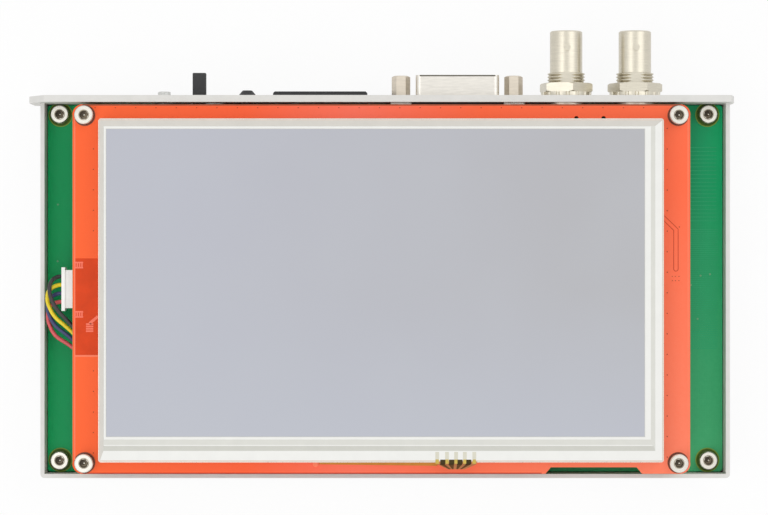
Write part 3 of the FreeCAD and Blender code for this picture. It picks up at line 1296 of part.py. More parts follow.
def wire_points(index):
    """Out of the plug to the left, round in a loop, and back under the display board."""
    y = PLUG_Y + wire_step(index)
    sx, sy = WIRE_SOCKET
    end_y = sy + wire_step(index)
    outer = PLUG_LEFT - WIRE_OUT[index]
    along = WIRE_ALONG[index]
    high = WIRE_HIGH[index]
    top = RED_BOTTOM - WIRE_TOP
    return [
        V(PLUG_LEFT + WIRE_IN, y, PLUG_Z),
        V(PLUG_LEFT - WIRE_STRAIGHT, y, PLUG_Z),
        V(outer, y - WIRE_FIRST[0], PLUG_Z + WIRE_FIRST[1] * high),
        V(outer - WIRE_CREST[0], y - WIRE_CREST[1] * along, PLUG_Z + high),
        V(outer + WIRE_TURN[0], y - WIRE_TURN[1] * along, PLUG_Z + high),
        V(PLUG_LEFT + WIRE_BACK_X, PLUG_Y + WIRE_BACK_Y[index], PLUG_Z + WIRE_BACK_SHARE * high),
        V(sx - WIRE_LEVEL[0], end_y + WIRE_LEVEL[1], top),
        V(sx, end_y, top - WIRE_SAG),
        V(sx, end_y, MAIN_TOP + WIRE_SOCKET_H - WIRE_SOCKET_BORE + WIRE_END_LIFT),
    ]


def build():
    os.makedirs("parts", exist_ok=True)
    save("enclosure_tray", tray())
    save("front_panel", front_panel())
    save("panel_screws", *panel_screws())
    save("rubber_feet", *rubber_feet())
    save("standoff_screws", *standoff_screws())
    save("main_standoffs", *main_spacers())
    save("main_board", main_board())
    save("main_board_screws", *main_screws())
    save("display_standoffs", *display_spacers())
    save("standoff_nuts", *spacer_nuts())
    save("display_board", display_board())
    save("display_board_screws", *display_screws())
    save("header_socket", header_socket())
    save("header_base", header_base())
    save("header_pins", *header_pins())

    glass_bottom = LCD_TOP - GLASS
    save("mounting_tape", *mounting_tape())
    save("display_frame", display_frame())
    save("display_backlight", lcd_pocket(LCD_BOTTOM + LCD_FLOOR, glass_bottom, LCD_CELL_GAP))
    save("display_glass", lcd_pocket(glass_bottom, LCD_TOP, LCD_CELL_GAP))
    save("touch_panel", touch_sheet())
    save("touch_flex", touch_flex())
    save("display_flex", lcd_flex())
    save("flex_connector", flex_connector())

    save("processor", chip(PROCESSOR, PROCESSOR_SIZE, PROCESSOR_T))
    save("display_controller", display_controller())
    save("signal_chips", *[chip(place, SIGNAL_CHIP_SIZE, SIGNAL_CHIP_T) for place in SIGNAL_CHIPS])
    save("shield_cans", *[can(x, y, length, width) for x, y, length, width in CANS])
    save("crystal", crystal())
    save("capacitors", *[capacitor(x) for x in CAPACITORS])
    save("inductors", *[coil(x) for x in COILS])

    save("led_lens", led_lens())
    save("led_housing", led_housing())
    save("switch_frame", switch_frame())
    save("switch_base", switch_base())
    save("switch_lever", switch_lever())
    save("button_housing", button_housing())
    save("button_cap", button_cap())
    save("card_socket", card_body())
    save("card_cover", card_cover())

    save("dsub_shell", dsub_shell())
    save("dsub_insulator", dsub_insulator())
    save("dsub_contacts", *dsub_contacts())
    save("dsub_brackets", *dsub_brackets())
    save("dsub_jackscrews", *jackscrews())

    save("bnc_bodies", *[bnc_body(x) for x in BNC_PLACES])
    save("bnc_insulators", *[bnc_insulator(x) for x in BNC_PLACES])
    save("bnc_contacts", *[bnc_contact(x) for x in BNC_PLACES])
    save("bnc_leads", *[bnc_lead(x) for x in BNC_PLACES])
    save("bnc_washers", *[bnc_washer(x) for x in BNC_PLACES])
    save("bnc_nuts", *[bnc_nut(x, turn) for x, turn in zip(BNC_PLACES, BNC_NUT_TURNS)])

    save("wire_plug", plug_housing())
    save("wire_header", plug_header())
    save("wire_socket", wire_socket())
    for index, name in enumerate(WIRE_NAMES):
        points = wire_points(index)
        bends = route_bends(points)
        print(name, "wire, bend radii", [round(bend, 1) for bend in bends])
        save("wire_" + name, bent_wire(points, WIRE_R, bends))


build()
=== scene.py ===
"""Looks of the bench vector network analyzer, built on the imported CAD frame."""

import math

import bmesh
import bpy
from mathutils import Matrix, Vector


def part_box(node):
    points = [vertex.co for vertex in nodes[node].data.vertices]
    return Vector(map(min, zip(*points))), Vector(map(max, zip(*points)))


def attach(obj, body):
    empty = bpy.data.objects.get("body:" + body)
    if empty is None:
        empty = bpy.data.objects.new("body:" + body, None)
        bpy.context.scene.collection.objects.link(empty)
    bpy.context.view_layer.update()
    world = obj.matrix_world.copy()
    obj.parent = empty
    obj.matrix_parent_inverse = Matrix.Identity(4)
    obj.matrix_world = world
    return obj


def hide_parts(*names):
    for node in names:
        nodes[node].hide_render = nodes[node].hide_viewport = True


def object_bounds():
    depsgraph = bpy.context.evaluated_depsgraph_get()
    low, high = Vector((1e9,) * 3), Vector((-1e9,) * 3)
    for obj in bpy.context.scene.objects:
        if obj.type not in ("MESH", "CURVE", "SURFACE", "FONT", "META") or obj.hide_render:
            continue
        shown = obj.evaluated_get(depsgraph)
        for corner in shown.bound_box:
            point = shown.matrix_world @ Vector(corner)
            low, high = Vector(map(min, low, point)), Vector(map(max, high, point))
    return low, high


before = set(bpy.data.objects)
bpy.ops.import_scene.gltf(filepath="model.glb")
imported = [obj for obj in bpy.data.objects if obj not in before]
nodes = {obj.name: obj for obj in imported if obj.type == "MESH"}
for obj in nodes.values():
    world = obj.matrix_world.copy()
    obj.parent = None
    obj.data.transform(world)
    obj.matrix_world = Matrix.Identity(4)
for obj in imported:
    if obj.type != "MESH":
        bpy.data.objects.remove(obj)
cad_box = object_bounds()
MM = 0.001
BODY = "chassis"
LIGHT_RAMP_HALF = 105.0           # painted light and shade across a board: half its span, mm
WEAVE_SCALE = 620.0          # bands a metre in the boards' glass cloth
RAMP_LOW, RAMP_HIGH = 0.3, 0.7   # where noise values begin and end to count


# ---- materials ------------------------------------------------------------------
def linear(srgb):
    """Linear colour from 0-255 screen values."""
    out = []
    for value in srgb:
        c = value / 255.0
        out.append(c / 12.92 if c <= 0.04045 else ((c + 0.055) / 1.055) ** 2.4)
    return (*out, 1.0)


class Surface:
    """A Principled material whose colour, roughness and relief come from noise nodes."""

    def __init__(self, name, metallic=0.0, specular=0.5, coat=0.0, coat_roughness=0.1):
        self.material = bpy.data.materials.new(name)
        self.material.use_nodes = True
        self.tree = self.material.node_tree
        self.shader = self.tree.nodes["Principled BSDF"]
        self.shader.inputs["Metallic"].default_value = metallic
        self.shader.inputs["Specular IOR Level"].default_value = specular
        self.shader.inputs["Coat Weight"].default_value = coat
        self.shader.inputs["Coat Roughness"].default_value = coat_roughness
        self.place = self.tree.nodes.new("ShaderNodeTexCoord").outputs["Object"]

    def node(self, kind, **settings):
        made = self.tree.nodes.new("ShaderNode" + kind)
        for key, value in settings.items():
            setattr(made, key, value)
        return made

    def link(self, output, to):
        self.tree.links.new(output, to)

    def noise(self, scale, detail=3.0, stretch=(1.0, 1.0, 1.0)):
        """Noise over the object, scale in cycles a metre."""
        mapping = self.node("Mapping")
        mapping.inputs["Scale"].default_value = stretch
        self.link(self.place, mapping.inputs["Vector"])
        texture = self.node("TexNoise")
        texture.inputs["Scale"].default_value = scale
        texture.inputs["Detail"].default_value = detail
        self.link(mapping.outputs["Vector"], texture.inputs["Vector"])
        return texture.outputs["Fac"]

    def along(self, axis, low, high):
        """0 to 1 between two places on an axis."""
        split = self.node("SeparateXYZ")
        self.link(self.place, split.inputs[0])
        reach = self.node("MapRange")
        reach.inputs["From Min"].default_value = low
        reach.inputs["From Max"].default_value = high
        self.link(split.outputs[axis], reach.inputs["Value"])
        return reach.outputs["Result"]

    def blend(self, factor, first, second):
        """Colour between two; each is a colour or another node's output."""
        mix = self.node("Mix", data_type="RGBA")
        self.link(factor, mix.inputs["Factor"])
        for value, socket in ((first, mix.inputs["A"]), (second, mix.inputs["B"])):
            if isinstance(value, bpy.types.NodeSocket):
                self.link(value, socket)
            else:
                socket.default_value = value
        return mix.outputs["Result"]

    def ramp(self, factor, low, high):
        """Noise spread over a range of values."""
        reach = self.node("MapRange")
        reach.inputs["From Min"].default_value = RAMP_LOW
        reach.inputs["From Max"].default_value = RAMP_HIGH
        reach.inputs["To Min"].default_value = low
        reach.inputs["To Max"].default_value = high
        self.link(factor, reach.inputs["Value"])
        return reach.outputs["Result"]

    def colour(self, output):
        self.link(output, self.shader.inputs["Base Color"])

    def roughness(self, output):
        self.link(output, self.shader.inputs["Roughness"])

    def relief(self, factor, height, strength=1.0):
        bump = self.node("Bump")
        bump.inputs["Distance"].default_value = height
        bump.inputs["Strength"].default_value = strength
        self.link(factor, bump.inputs["Height"])
        self.link(bump.outputs["Normal"], self.shader.inputs["Normal"])


def plain(name, srgb, spread, rough, grain, height, metallic=0.0, stretch=(1, 1, 1), **kind):
    """A surface of one colour with mottling, uneven gloss and fine relief."""
    s = Surface(name, metallic=metallic, **kind)
    base = linear(srgb)
    dark = tuple(c * (1 - spread) for c in base[:3]) + (1.0,)
    s.colour(s.blend(s.ramp(s.noise(grain * 0.12, 4.0, stretch), 0.0, 1.0), base, dark))
    fine = s.noise(grain, 3.0, stretch)
    s.roughness(s.ramp(fine, rough[0], rough[1]))
    s.relief(fine, height)
    return s.material


def board_mask(name, stops, sheen_tint, far_tint, rough, weave_height):
    """Solder mask over glass cloth, with the cloth's weave below; the colour ramp across the board is painted
    shade and painted reflection, and the paler tint towards the lower right is a painted sheen.
    """
    s = Surface(name, specular=0.22)
    # colour ramp along X: painted shade and painted reflection laid over the mask's own colour
    drift = s.node("ValToRGB")
    while len(drift.color_ramp.elements) < len(stops):
        drift.color_ramp.elements.new(0.5)
    for element, (place, tone) in zip(drift.color_ramp.elements, stops):
        element.position = (place + LIGHT_RAMP_HALF) / (2 * LIGHT_RAMP_HALF)
        element.color = linear(tone)
    s.link(s.along("X", -LIGHT_RAMP_HALF * MM, LIGHT_RAMP_HALF * MM), drift.inputs["Fac"])
    # painted sheen: the mask turns paler towards the right and the low side of the board
    sheen_place = s.node("Math", operation="MULTIPLY")
    s.link(s.along("X", -0.02, 0.09), sheen_place.inputs[0])
    s.link(s.along("Y", 0.02, -0.06), sheen_place.inputs[1])
    sheened = s.blend(sheen_place.outputs[0], drift.outputs["Color"], linear(sheen_tint))
    tint = s.blend(s.ramp(s.noise(9.0, 2.0), 0.0, 0.4), sheened, linear(far_tint))
    mottled = s.blend(s.ramp(s.noise(900.0, 4.0), 0.0, 0.12), tint, linear(far_tint))
    s.colour(mottled)
    weave = s.node("Math", operation="ADD")
    for socket, axis in zip(weave.inputs, "XY"):
        wave = s.node("TexWave", wave_type="BANDS", bands_direction=axis)
        wave.inputs["Scale"].default_value = WEAVE_SCALE
        wave.inputs["Distortion"].default_value = 1.0
        s.link(s.place, wave.inputs["Vector"])
        s.link(wave.outputs["Fac"], socket)
    s.relief(weave.outputs[0], weave_height)
    s.roughness(s.ramp(s.noise(420.0, 3.0), rough[0], rough[1]))
    return s.material


def brushed(name, srgb, rough, stretch, spread=0.12, height=4e-6):
    """Bright metal with fine drawn lines along one axis."""
    return plain(name, srgb, spread, rough, 2600.0, height, metallic=1.0, stretch=stretch)


def view_cell(name):
    """Unlit display: satin grey, cooler at the left and low, with a broad soft drift."""
    s = Surface(name, specular=0.3, coat=0.1, coat_roughness=0.32)
    cool = linear((183, 185, 195))
    warm = linear((178, 178, 181))
    low = linear((184, 187, 197))
    drift = s.blend(s.along("X", -0.06, 0.085), cool, warm)
    deep = s.blend(s.along("Y", -0.01, -0.055), drift, low)
    s.colour(s.blend(s.ramp(s.noise(26.0, 2.0), 0.0, 0.3), deep, linear((188, 191, 198))))
    fine = s.noise(5200.0, 2.0)
    s.roughness(s.ramp(fine, 0.34, 0.44))
    s.relief(fine, 1.5e-6)
    return s.material


# green board: brighter at both ends by the tray walls and darker over the span the display board overhangs,
# which is painted shade; (92, 204, 140) is the paler painted sheen
GREEN = board_mask(
    "mask_green",
    ((-99.0, (0, 198, 112)), (-95.0, (0, 178, 102)), (-91.5, (0, 158, 90)), (90.0, (22, 158, 104)),
     (95.0, (16, 180, 116)), (101.0, (8, 200, 126))),
    (92, 204, 140), (0, 166, 98), (0.3, 0.42), 6e-6,
)
# red board: the pinker colour near the middle and the paler (255, 146, 118) towards the lower right are painted
# reflection
RED = board_mask(
    "mask_red",
    ((-90.0, (255, 104, 50)), (-40.0, (255, 100, 58)), (-8.0, (255, 120, 100)), (30.0, (255, 106, 66)),
     (91.0, (255, 112, 74))),
    (255, 146, 118), (255, 100, 54), (0.34, 0.48), 5e-6,
)
MATERIALS = {
    "case_paint": plain("paint_case", (222, 221, 217), 0.05, (0.5, 0.66), 2600.0, 9e-6, specular=0.35),
    "board_green": GREEN,
    "board_red": RED,
    "steel": brushed("metal_steel", (232, 228, 218), (0.24, 0.36), (1, 1, 9)),
    "nickel": brushed("metal_nickel", (214, 208, 192), (0.26, 0.38), (1, 8, 1)),
    "brass_plated": brushed("metal_spacer", (212, 202, 172), (0.26, 0.38), (1, 1, 9)),
    "contact_gold": brushed("metal_gold", (226, 186, 108), (0.22, 0.34), (1, 6, 1)),
    "tinned_wire": brushed("metal_tinned", (206, 206, 204), (0.25, 0.4), (1, 6, 1)),
    "foot_rubber": plain("rubber_foot", (40, 40, 41), 0.2, (0.72, 0.88), 3200.0, 2e-5, specular=0.3),
    "black_plastic": plain("plastic_black", (54, 54, 55), 0.12, (0.46, 0.6), 3800.0, 8e-6, specular=0.35),
    "white_plastic": plain("plastic_white", (250, 249, 245), 0.04, (0.38, 0.5), 2400.0, 5e-6),
    "ptfe": plain("plastic_ptfe", (238, 238, 234), 0.04, (0.42, 0.55), 2000.0, 4e-6),
    "lens": plain("plastic_lens", (218, 219, 216), 0.04, (0.25, 0.38), 1800.0, 4e-6, coat=0.3),
    "display_cell": view_cell("cell_view"),
    "touch_glass": plain("glass_touch", (226, 226, 222), 0.03, (0.12, 0.2), 900.0, 1e-6, coat=0.5),
    "flex_amber": plain("film_amber", (206, 128, 66), 0.16, (0.28, 0.4), 2600.0, 4e-6, coat=0.2),
    "tape": plain("foam_tape", (226, 226, 221), 0.06, (0.6, 0.75), 3000.0, 1.5e-5),
    "capacitor_can": brushed("metal_can", (205, 206, 208), (0.22, 0.34), (1, 1, 1)),
    "ferrite": plain("stone_ferrite", (70, 70, 72), 0.25, (0.55, 0.75), 4200.0, 2e-5, specular=0.3),
    "wire_black": plain("cover_black", (44, 42, 42), 0.12, (0.34, 0.46), 2600.0, 5e-6),
    "wire_yellow": plain("cover_yellow", (242, 216, 28), 0.08, (0.34, 0.46), 2600.0, 5e-6),
    "wire_blue": plain("cover_blue", (52, 62, 110), 0.1, (0.34, 0.46), 2600.0, 5e-6),
    "wire_red": plain("cover_red", (226, 92, 96), 0.1, (0.34, 0.46), 2600.0, 5e-6),
}
NODE_SLOTS = {
    "case_paint": ("enclosure_tray", "front_panel"),
    "board_green": ("main_board",),
    "board_red": ("display_board",),
    "steel": (
        "panel_screws", "standoff_screws", "main_board_screws", "display_board_screws", "standoff_nuts",
        "shield_cans", "crystal", "switch_frame", "card_cover", "dsub_brackets", "display_frame",
    ),
    "nickel": ("dsub_shell", "dsub_jackscrews", "bnc_bodies", "bnc_washers", "bnc_nuts"),
    "brass_plated": ("main_standoffs", "display_standoffs"),
    "contact_gold": ("header_pins", "dsub_contacts", "bnc_contacts"),
    "tinned_wire": ("bnc_leads",),
    "foot_rubber": ("rubber_feet",),
    "black_plastic": (
        "header_socket", "header_base", "processor", "display_controller", "signal_chips", "switch_base",
        "switch_lever", "button_housing", "button_cap", "card_socket", "dsub_insulator",
    ),
    "white_plastic": ("led_housing", "wire_plug", "wire_header", "wire_socket", "flex_connector"),
    "ptfe": ("bnc_insulators",),
    "lens": ("led_lens",),
    "display_cell": ("display_backlight", "display_glass"),
    "flex_amber": ("touch_flex", "display_flex"),
    "tape": ("mounting_tape",),
    "capacitor_can": ("capacitors",),
    "ferrite": ("inductors",),
    "wire_black": ("wire_black",),
    "wire_yellow": ("wire_yellow",),
    "wire_blue": ("wire_blue",),
    "wire_red": ("wire_red",),
}
SHELL = brushed("metal_shell", (228, 224, 216), (0.3, 0.42), (1, 6, 1))
JACK = brushed("metal_jackscrew", (220, 210, 194), (0.28, 0.4), (1, 6, 1))
OTHER_FINISH = {"dsub_shell": SHELL, "dsub_jackscrews": JACK}
for slot_name, members in NODE_SLOTS.items():
    for member in members:
        mesh = nodes[member].data
        mesh.materials.clear()
        mesh.materials.append(OTHER_FINISH.get(member, MATERIALS[slot_name]))

CREAM = plain("print_cream", (210, 206, 198), 0.04, (0.36, 0.46), 2400.0, 2e-6, coat=0.15)
PALE = plain("print_pale", (236, 236, 232), 0.03, (0.32, 0.42), 2400.0, 2e-6, coat=0.2)
MIST = plain("print_mist", (216, 216, 209), 0.04, (0.34, 0.44), 2400.0, 2e-6, coat=0.15)
SHADE = plain("print_shade", (203, 203, 195), 0.04, (0.36, 0.46), 2400.0, 2e-6, coat=0.15)
RIM = plain("print_rim", (222, 208, 196), 0.06, (0.4, 0.5), 2400.0, 2e-6, specular=0.2)
PAD_RED = plain("pad_red", (255, 128, 104), 0.06, (0.34, 0.44), 2200.0, 4e-6, specular=0.2)
BARE_RED = plain("bare_red", (228, 72, 24), 0.16, (0.4, 0.52), 1800.0, 6e-6, specular=0.2)
LINE_RED = plain("line_red", (196, 66, 38), 0.1, (0.4, 0.5), 2200.0, 3e-6, specular=0.2)
RIDGE_RED = plain("ridge_red", (255, 132, 98), 0.05, (0.34, 0.44), 2200.0, 3e-6, specular=0.2)
VIA_RED = plain("via_red", (150, 60, 36), 0.12, (0.4, 0.5), 2200.0, 3e-6, specular=0.2)
# bare brown laminate; on the display board's top margin its dark tone is also painted shadow from the front
# panel
PAD_BROWN = plain("pad_brown", (178, 92, 62), 0.2, (0.36, 0.5), 2200.0, 5e-6, specular=0.2)
EDGE_TAN = plain("edge_tan", (172, 140, 104), 0.1, (0.5, 0.6), 2200.0, 6e-6, specular=0.2)
AMBER_STRIP = plain("film_strip", (208, 138, 58), 0.14, (0.34, 0.46), 2600.0, 4e-6, specular=0.2)
LINE_GREEN = plain("line_green", (52, 190, 128), 0.06, (0.26, 0.36), 2200.0, 3e-6, specular=0.2)
VIA_GREEN = plain("via_green", (120, 190, 140), 0.08, (0.3, 0.4), 2200.0, 3e-6, specular=0.2)
OLIVE = plain("pad_olive", (84, 112, 26), 0.3, (0.3, 0.42), 2200.0, 4e-6, specular=0.2)
OLIVE_RIM = plain("pad_olive_rim", (150, 184, 70), 0.2, (0.3, 0.4), 2200.0, 4e-6, specular=0.2)
TAB_GOLD = plain("tab_gold", (206, 178, 74), 0.16, (0.34, 0.44), 2200.0, 3e-6)
TAB_KHAKI = plain("tab_khaki", (216, 213, 196), 0.06, (0.34, 0.44), 2200.0, 3e-6)
CARBON = plain("pad_carbon", (62, 48, 14), 0.15, (0.45, 0.55), 2600.0, 4e-6, specular=0.2)
# painted shade for the screw drive hollows: a dark floor, darker walls and a darker ring on the rim
DRIVE_FLOOR_SHADE = plain("drive_floor_shade", (128, 116, 96), 0.3, (0.4, 0.55), 3000.0, 8e-6, metallic=0.8)
DRIVE_WALL_SHADE = plain("drive_wall_shade", (74, 64, 50), 0.3, (0.45, 0.6), 3000.0, 8e-6, metallic=0.5)
GLINT = brushed("metal_glint", (236, 230, 214), (0.2, 0.3), (1, 1, 1))
MOUTH_SHADE = plain("mouth_shade", (168, 158, 138), 0.35, (0.35, 0.5), 3000.0, 6e-6, metallic=0.8)
SHADOW = plain("mask_shadow", (96, 44, 26), 0.2, (0.5, 0.6), 2600.0, 5e-6)
# painted shade on the D connector shell's rolled lip, where it curves away from the light
LIP_SHADE = plain("lip_shade", (104, 100, 88), 0.25, (0.3, 0.42), 2600.0, 4e-6, metallic=0.7)
TRACE_TAN = plain("trace_tan", (112, 74, 34), 0.12, (0.34, 0.46), 2600.0, 3e-6, specular=0.2)


# ---- mesh helpers, in millimetres -----------------------------------------------
def circle(x, y, radius, sides, turn=0.0):
    """Corners of a regular polygon round a middle."""
    angles = [turn + 2 * math.pi * i / sides for i in range(sides)]
    return [(x + radius * math.cos(angle), y + radius * math.sin(angle)) for angle in angles]


class Piece:
    """One mesh made of prisms, rings and strips; finished into an object that rides the chassis."""

    def __init__(self, name, slot, material):
        self.name = name
        self.slot = slot
        self.material = material
        self.bm = bmesh.new()

    def prism(self, outline, z0, z1, bevel=0.0):
        """Closed upright prism, its upper rim drawn in by bevel."""
        middle = Vector((sum(p[0] for p in outline), sum(p[1] for p in outline))) / len(outline)
        low = [self.bm.verts.new((x, y, z0)) for x, y in outline]
        rings = [low]
        if bevel:
            rings.append([self.bm.verts.new((x, y, z1 - bevel)) for x, y in outline])
        top = []
        for x, y in outline:
            inward = (middle - Vector((x, y))).normalized() * bevel * 1.4
            top.append(self.bm.verts.new((x + inward.x, y + inward.y, z1)))
        rings.append(top)
        self.bm.faces.new(list(reversed(low)))
        self.bm.faces.new(top)
        count = len(outline)
        for lower, upper in zip(rings, rings[1:]):
            for i in range(count):
                j = (i + 1) % count
                self.bm.faces.new((lower[i], lower[j], upper[j], upper[i]))

    def box(self, x0, x1, y0, y1, z0, z1, bevel=0.0):
        self.prism([(x0, y0), (x1, y0), (x1, y1), (x0, y1)], z0, z1, bevel)

    def disc(self, x, y, radius, z0, z1, sides=16, bevel=0.0):
        self.prism(circle(x, y, radius, sides), z0, z1, bevel)

    def ring(self, x, y, inner, outer, z0, z1, sides=64):
        """Flat washer shape, closed all round."""
        loops = []
        for radius, z in ((inner, z0), (inner, z1), (outer, z1), (outer, z0)):
            loops.append([self.bm.verts.new((*point, z)) for point in circle(x, y, radius, sides)])
        for a in range(4):
            first, second = loops[a], loops[(a + 1) % 4]
            for i in range(sides):
                j = (i + 1) % sides
                self.bm.faces.new((first[i], second[i], second[j], first[j]))

    def strip(self, points, width, z0, z1):
        """Flat track along a line of points with mitred corners."""
        line = [Vector(p) for p in points]
        left = []
        right = []
        for i, point in enumerate(line):
            before = (point - line[i - 1]).normalized() if i else (line[1] - point).normalized()
            after = (line[i + 1] - point).normalized() if i + 1 < len(line) else before
            side = Vector((-(before.y + after.y), before.x + after.x))
            side.normalize()
            reach = width / 2 / max(0.4, abs(side.dot(Vector((-before.y, before.x)))))
            left.append(point + side * reach)
            right.append(point - side * reach)
        outline = [tuple(p) for p in right] + [tuple(p) for p in reversed(left)]
        self.prism(outline, z0, z1)

    def done(self, body=BODY):
        bmesh.ops.recalc_face_normals(self.bm, faces=self.bm.faces[:])
        mesh = bpy.data.meshes.new(self.name)
        self.bm.transform(Matrix.Scale(MM, 4))
        self.bm.to_mesh(mesh)
        self.bm.free()
        mesh.materials.append(self.material)
        made = bpy.data.objects.new(self.name, mesh)
        bpy.context.scene.collection.objects.link(made)
        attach(made, body)
        return made


CAP_REACH = 2.75             # corner of the four heads' box to the middle of a head


def box_mm(node):
    """Low and high corners of a node, in millimetres."""
    low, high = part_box(node)
    return low / MM, high / MM


def cap_places(node):
    """Middles and top levels of the four heads of a screw node."""
    low, high = box_mm(node)
    places = []
    for x in (low.x + CAP_REACH, high.x - CAP_REACH):
        for y in (low.y + CAP_REACH, high.y - CAP_REACH):
            places.append((x, y, high.z))
    return places


# ---- display: touch sheet with its printed borders, over the grey cell ----------
lcd_low, lcd_high = box_mm("display_frame")
touch_low, touch_high = box_mm("touch_panel")
TOP = touch_high.z - 0.02


def inset(left, right, top, bottom):
    """Rectangle inside the display's outline, as x0, x1, y0, y1."""
    return (lcd_low.x + left, lcd_high.x - right, lcd_low.y + bottom, lcd_high.y - top)


def bands(name, material, slot, outer, inner, z_out, z_in, sides="LRTB"):
    """The named sides of a frame between two insets."""
    piece = Piece(name, slot, material)
    ox0, ox1, oy0, oy1 = inset(*outer)
    ix0, ix1, iy0, iy1 = inset(*inner)
    z_low = touch_low.z
    quads = {
        "B": [(ox0, oy0), (ox1, oy0), (ix1, iy0), (ix0, iy0)],
        "R": [(ox1, oy0), (ox1, oy1), (ix1, iy1), (ix1, iy0)],
        "T": [(ox1, oy1), (ox0, oy1), (ix0, iy1), (ix1, iy1)],
        "L": [(ox0, oy1), (ox0, oy0), (ix0, iy0), (ix0, iy1)],
    }
    for side in sides:
        quad = quads[side]
        heights = (z_out, z_out, z_in, z_in)
        low = [piece.bm.verts.new((x, y, z_low)) for x, y in quad]
        top = [piece.bm.verts.new((x, y, z)) for (x, y), z in zip(quad, heights)]
        piece.bm.faces.new(list(reversed(low)))
        piece.bm.faces.new(top)
        for i in range(4):
            j = (i + 1) % 4
            piece.bm.faces.new((low[i], low[j], top[j], top[i]))
    return piece.done()


# insets from the display's left, right, top and bottom of each border line, outermost first
SHEET_EDGE = (0.3, 0.3, 0.3, 0.3)
SHEET_LIP = (0.62, 0.6, 0.66, 0.7)
WIDE_LINE = (1.62, 2.6, 2.25, 3.45)
GREY_LINE = (1.66, 3.05, 2.3, 4.9)
STEP_LINE = (1.7, 3.8, 2.34, 5.2)
INNER_LINE = (1.74, 3.86, 2.38, 6.75)
FRAME_LINE = (2.3, 5.55, 3.0, 7.45)
WINDOW = (2.42, 5.7, 3.12, 7.6)
VIEW_DROP = 0.16             # viewing area below the sheet's top
shown = [
    bands("touch_rim", RIM, "touch_glass", SHEET_EDGE, SHEET_LIP, TOP - 0.12, TOP),
    bands("touch_border_cream", CREAM, "touch_glass", SHEET_LIP, WIDE_LINE, TOP, TOP - 0.02, "LT"),
    bands("touch_border_white", PALE, "touch_glass", SHEET_LIP, WIDE_LINE, TOP, TOP - 0.02, "RB"),
    bands("touch_border_grey", SHADE, "touch_glass", WIDE_LINE, GREY_LINE, TOP - 0.02, TOP - 0.05, "LTB"),
    bands("touch_border_side", MIST, "touch_glass", WIDE_LINE, GREY_LINE, TOP - 0.02, TOP - 0.05, "R"),
    bands("touch_border_line", PALE, "touch_glass", GREY_LINE, STEP_LINE, TOP - 0.03, TOP - 0.03, "LTB"),
    bands("touch_border_step", MIST, "touch_glass", GREY_LINE, STEP_LINE, TOP - 0.05, TOP - 0.06, "R"),
    bands("touch_border_inner", MIST, "touch_glass", STEP_LINE, INNER_LINE, TOP - 0.06, TOP - 0.06),
    bands("touch_window_line", PALE, "touch_glass", INNER_LINE, FRAME_LINE, TOP - 0.04, TOP - 0.06),
    bands("touch_window_edge", SHADE, "display_cell", FRAME_LINE, WINDOW, TOP - 0.08, TOP - VIEW_DROP),
]
vx0, vx1, vy0, vy1 = inset(*WINDOW)
view = Piece("touch_view", "display_cell", MATERIALS["display_cell"])
view.box(vx0, vx1, vy0, vy1, touch_low.z, TOP - VIEW_DROP)
shown.append(view.done())
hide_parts("touch_panel")

# ---- touch panel's tail: tabs, printed pads, tracks and amber film -----------------
TAIL_WIDTH = 11.4
FOLD = 0.3                   # the tail's fold, outside the display's edge
FILM = 0.16                  # film on the board
TAIL_TABS = (-5.85, -3.0, -0.35, 2.2, 4.95)
# each pad's sides and its track's two ends, from the tail's middle
TAIL_PADS = (
    (-4.95, -3.45, -2.2, -1.75), (-2.4, -0.85, -1.35, -0.95), (0.05, 1.55, -0.1, 0.3), (2.6, 4.1, 0.95, 1.4),
)
flex_low, flex_high = box_mm("touch_flex")
red_low, red_high = box_mm("display_board")
tail_x1 = flex_high.x
tail_x0 = tail_x1 - TAIL_WIDTH
edge_y = lcd_low.y
board_z = red_high.z
film = Piece("touch_tail_film", "flex_amber", MATERIALS["flex_amber"])
film.box(tail_x0, tail_x1, edge_y - FOLD, edge_y + 0.32, TOP - 0.25, TOP - 0.04, 0.02)
film.box(tail_x0, tail_x1, edge_y - FOLD, edge_y - 0.12, board_z, TOP - 0.25)
film.prism([
    (tail_x0, edge_y - 0.2), (tail_x0, edge_y - 0.95), (tail_x0 + 3.2, edge_y - 2.4),
    (tail_x1 - 3.4, edge_y - 2.4), (tail_x1, edge_y - 0.95), (tail_x1, edge_y - 0.2),
], board_z, board_z + FILM, 0.03)
film_object = film.done()
strip_low = flex_low.x
ribbon = Piece("touch_tail_strip", "flex_amber", AMBER_STRIP)
ribbon.prism([
    (strip_low + 2.4, edge_y - 0.9), (tail_x0, edge_y - 1.35),
    (tail_x0, edge_y - 0.1), (strip_low + 2.4, edge_y - 0.1),
], board_z, board_z + 0.2, 0.03)
ribbon.done()
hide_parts("touch_flex")
knob = Piece("touch_tail_bump", "board_red", RIDGE_RED)
knob.disc(strip_low + 1.3, edge_y - 0.8, 0.9, board_z, board_z + 0.45, 24, 0.2)
knob.done()
tabs = Piece("touch_tail_tabs", "contact_gold", TAB_KHAKI)
bends = Piece("touch_tail_bends", "contact_gold", TAB_GOLD)
pads = Piece("touch_tail_pads", "flex_amber", CARBON)
tracks = Piece("touch_tail_tracks", "flex_amber", TRACE_TAN)
middle = (tail_x0 + tail_x1) / 2
for step in TAIL_TABS:
    x = middle + step
    tabs.box(x - 0.55, x + 0.55, edge_y + 0.95, edge_y + 3.15, TOP - 0.02, TOP, 0.006)
    bends.box(x - 0.5, x + 0.5, edge_y - FOLD, edge_y + 0.95, TOP - 0.04, TOP + 0.006, 0.006)
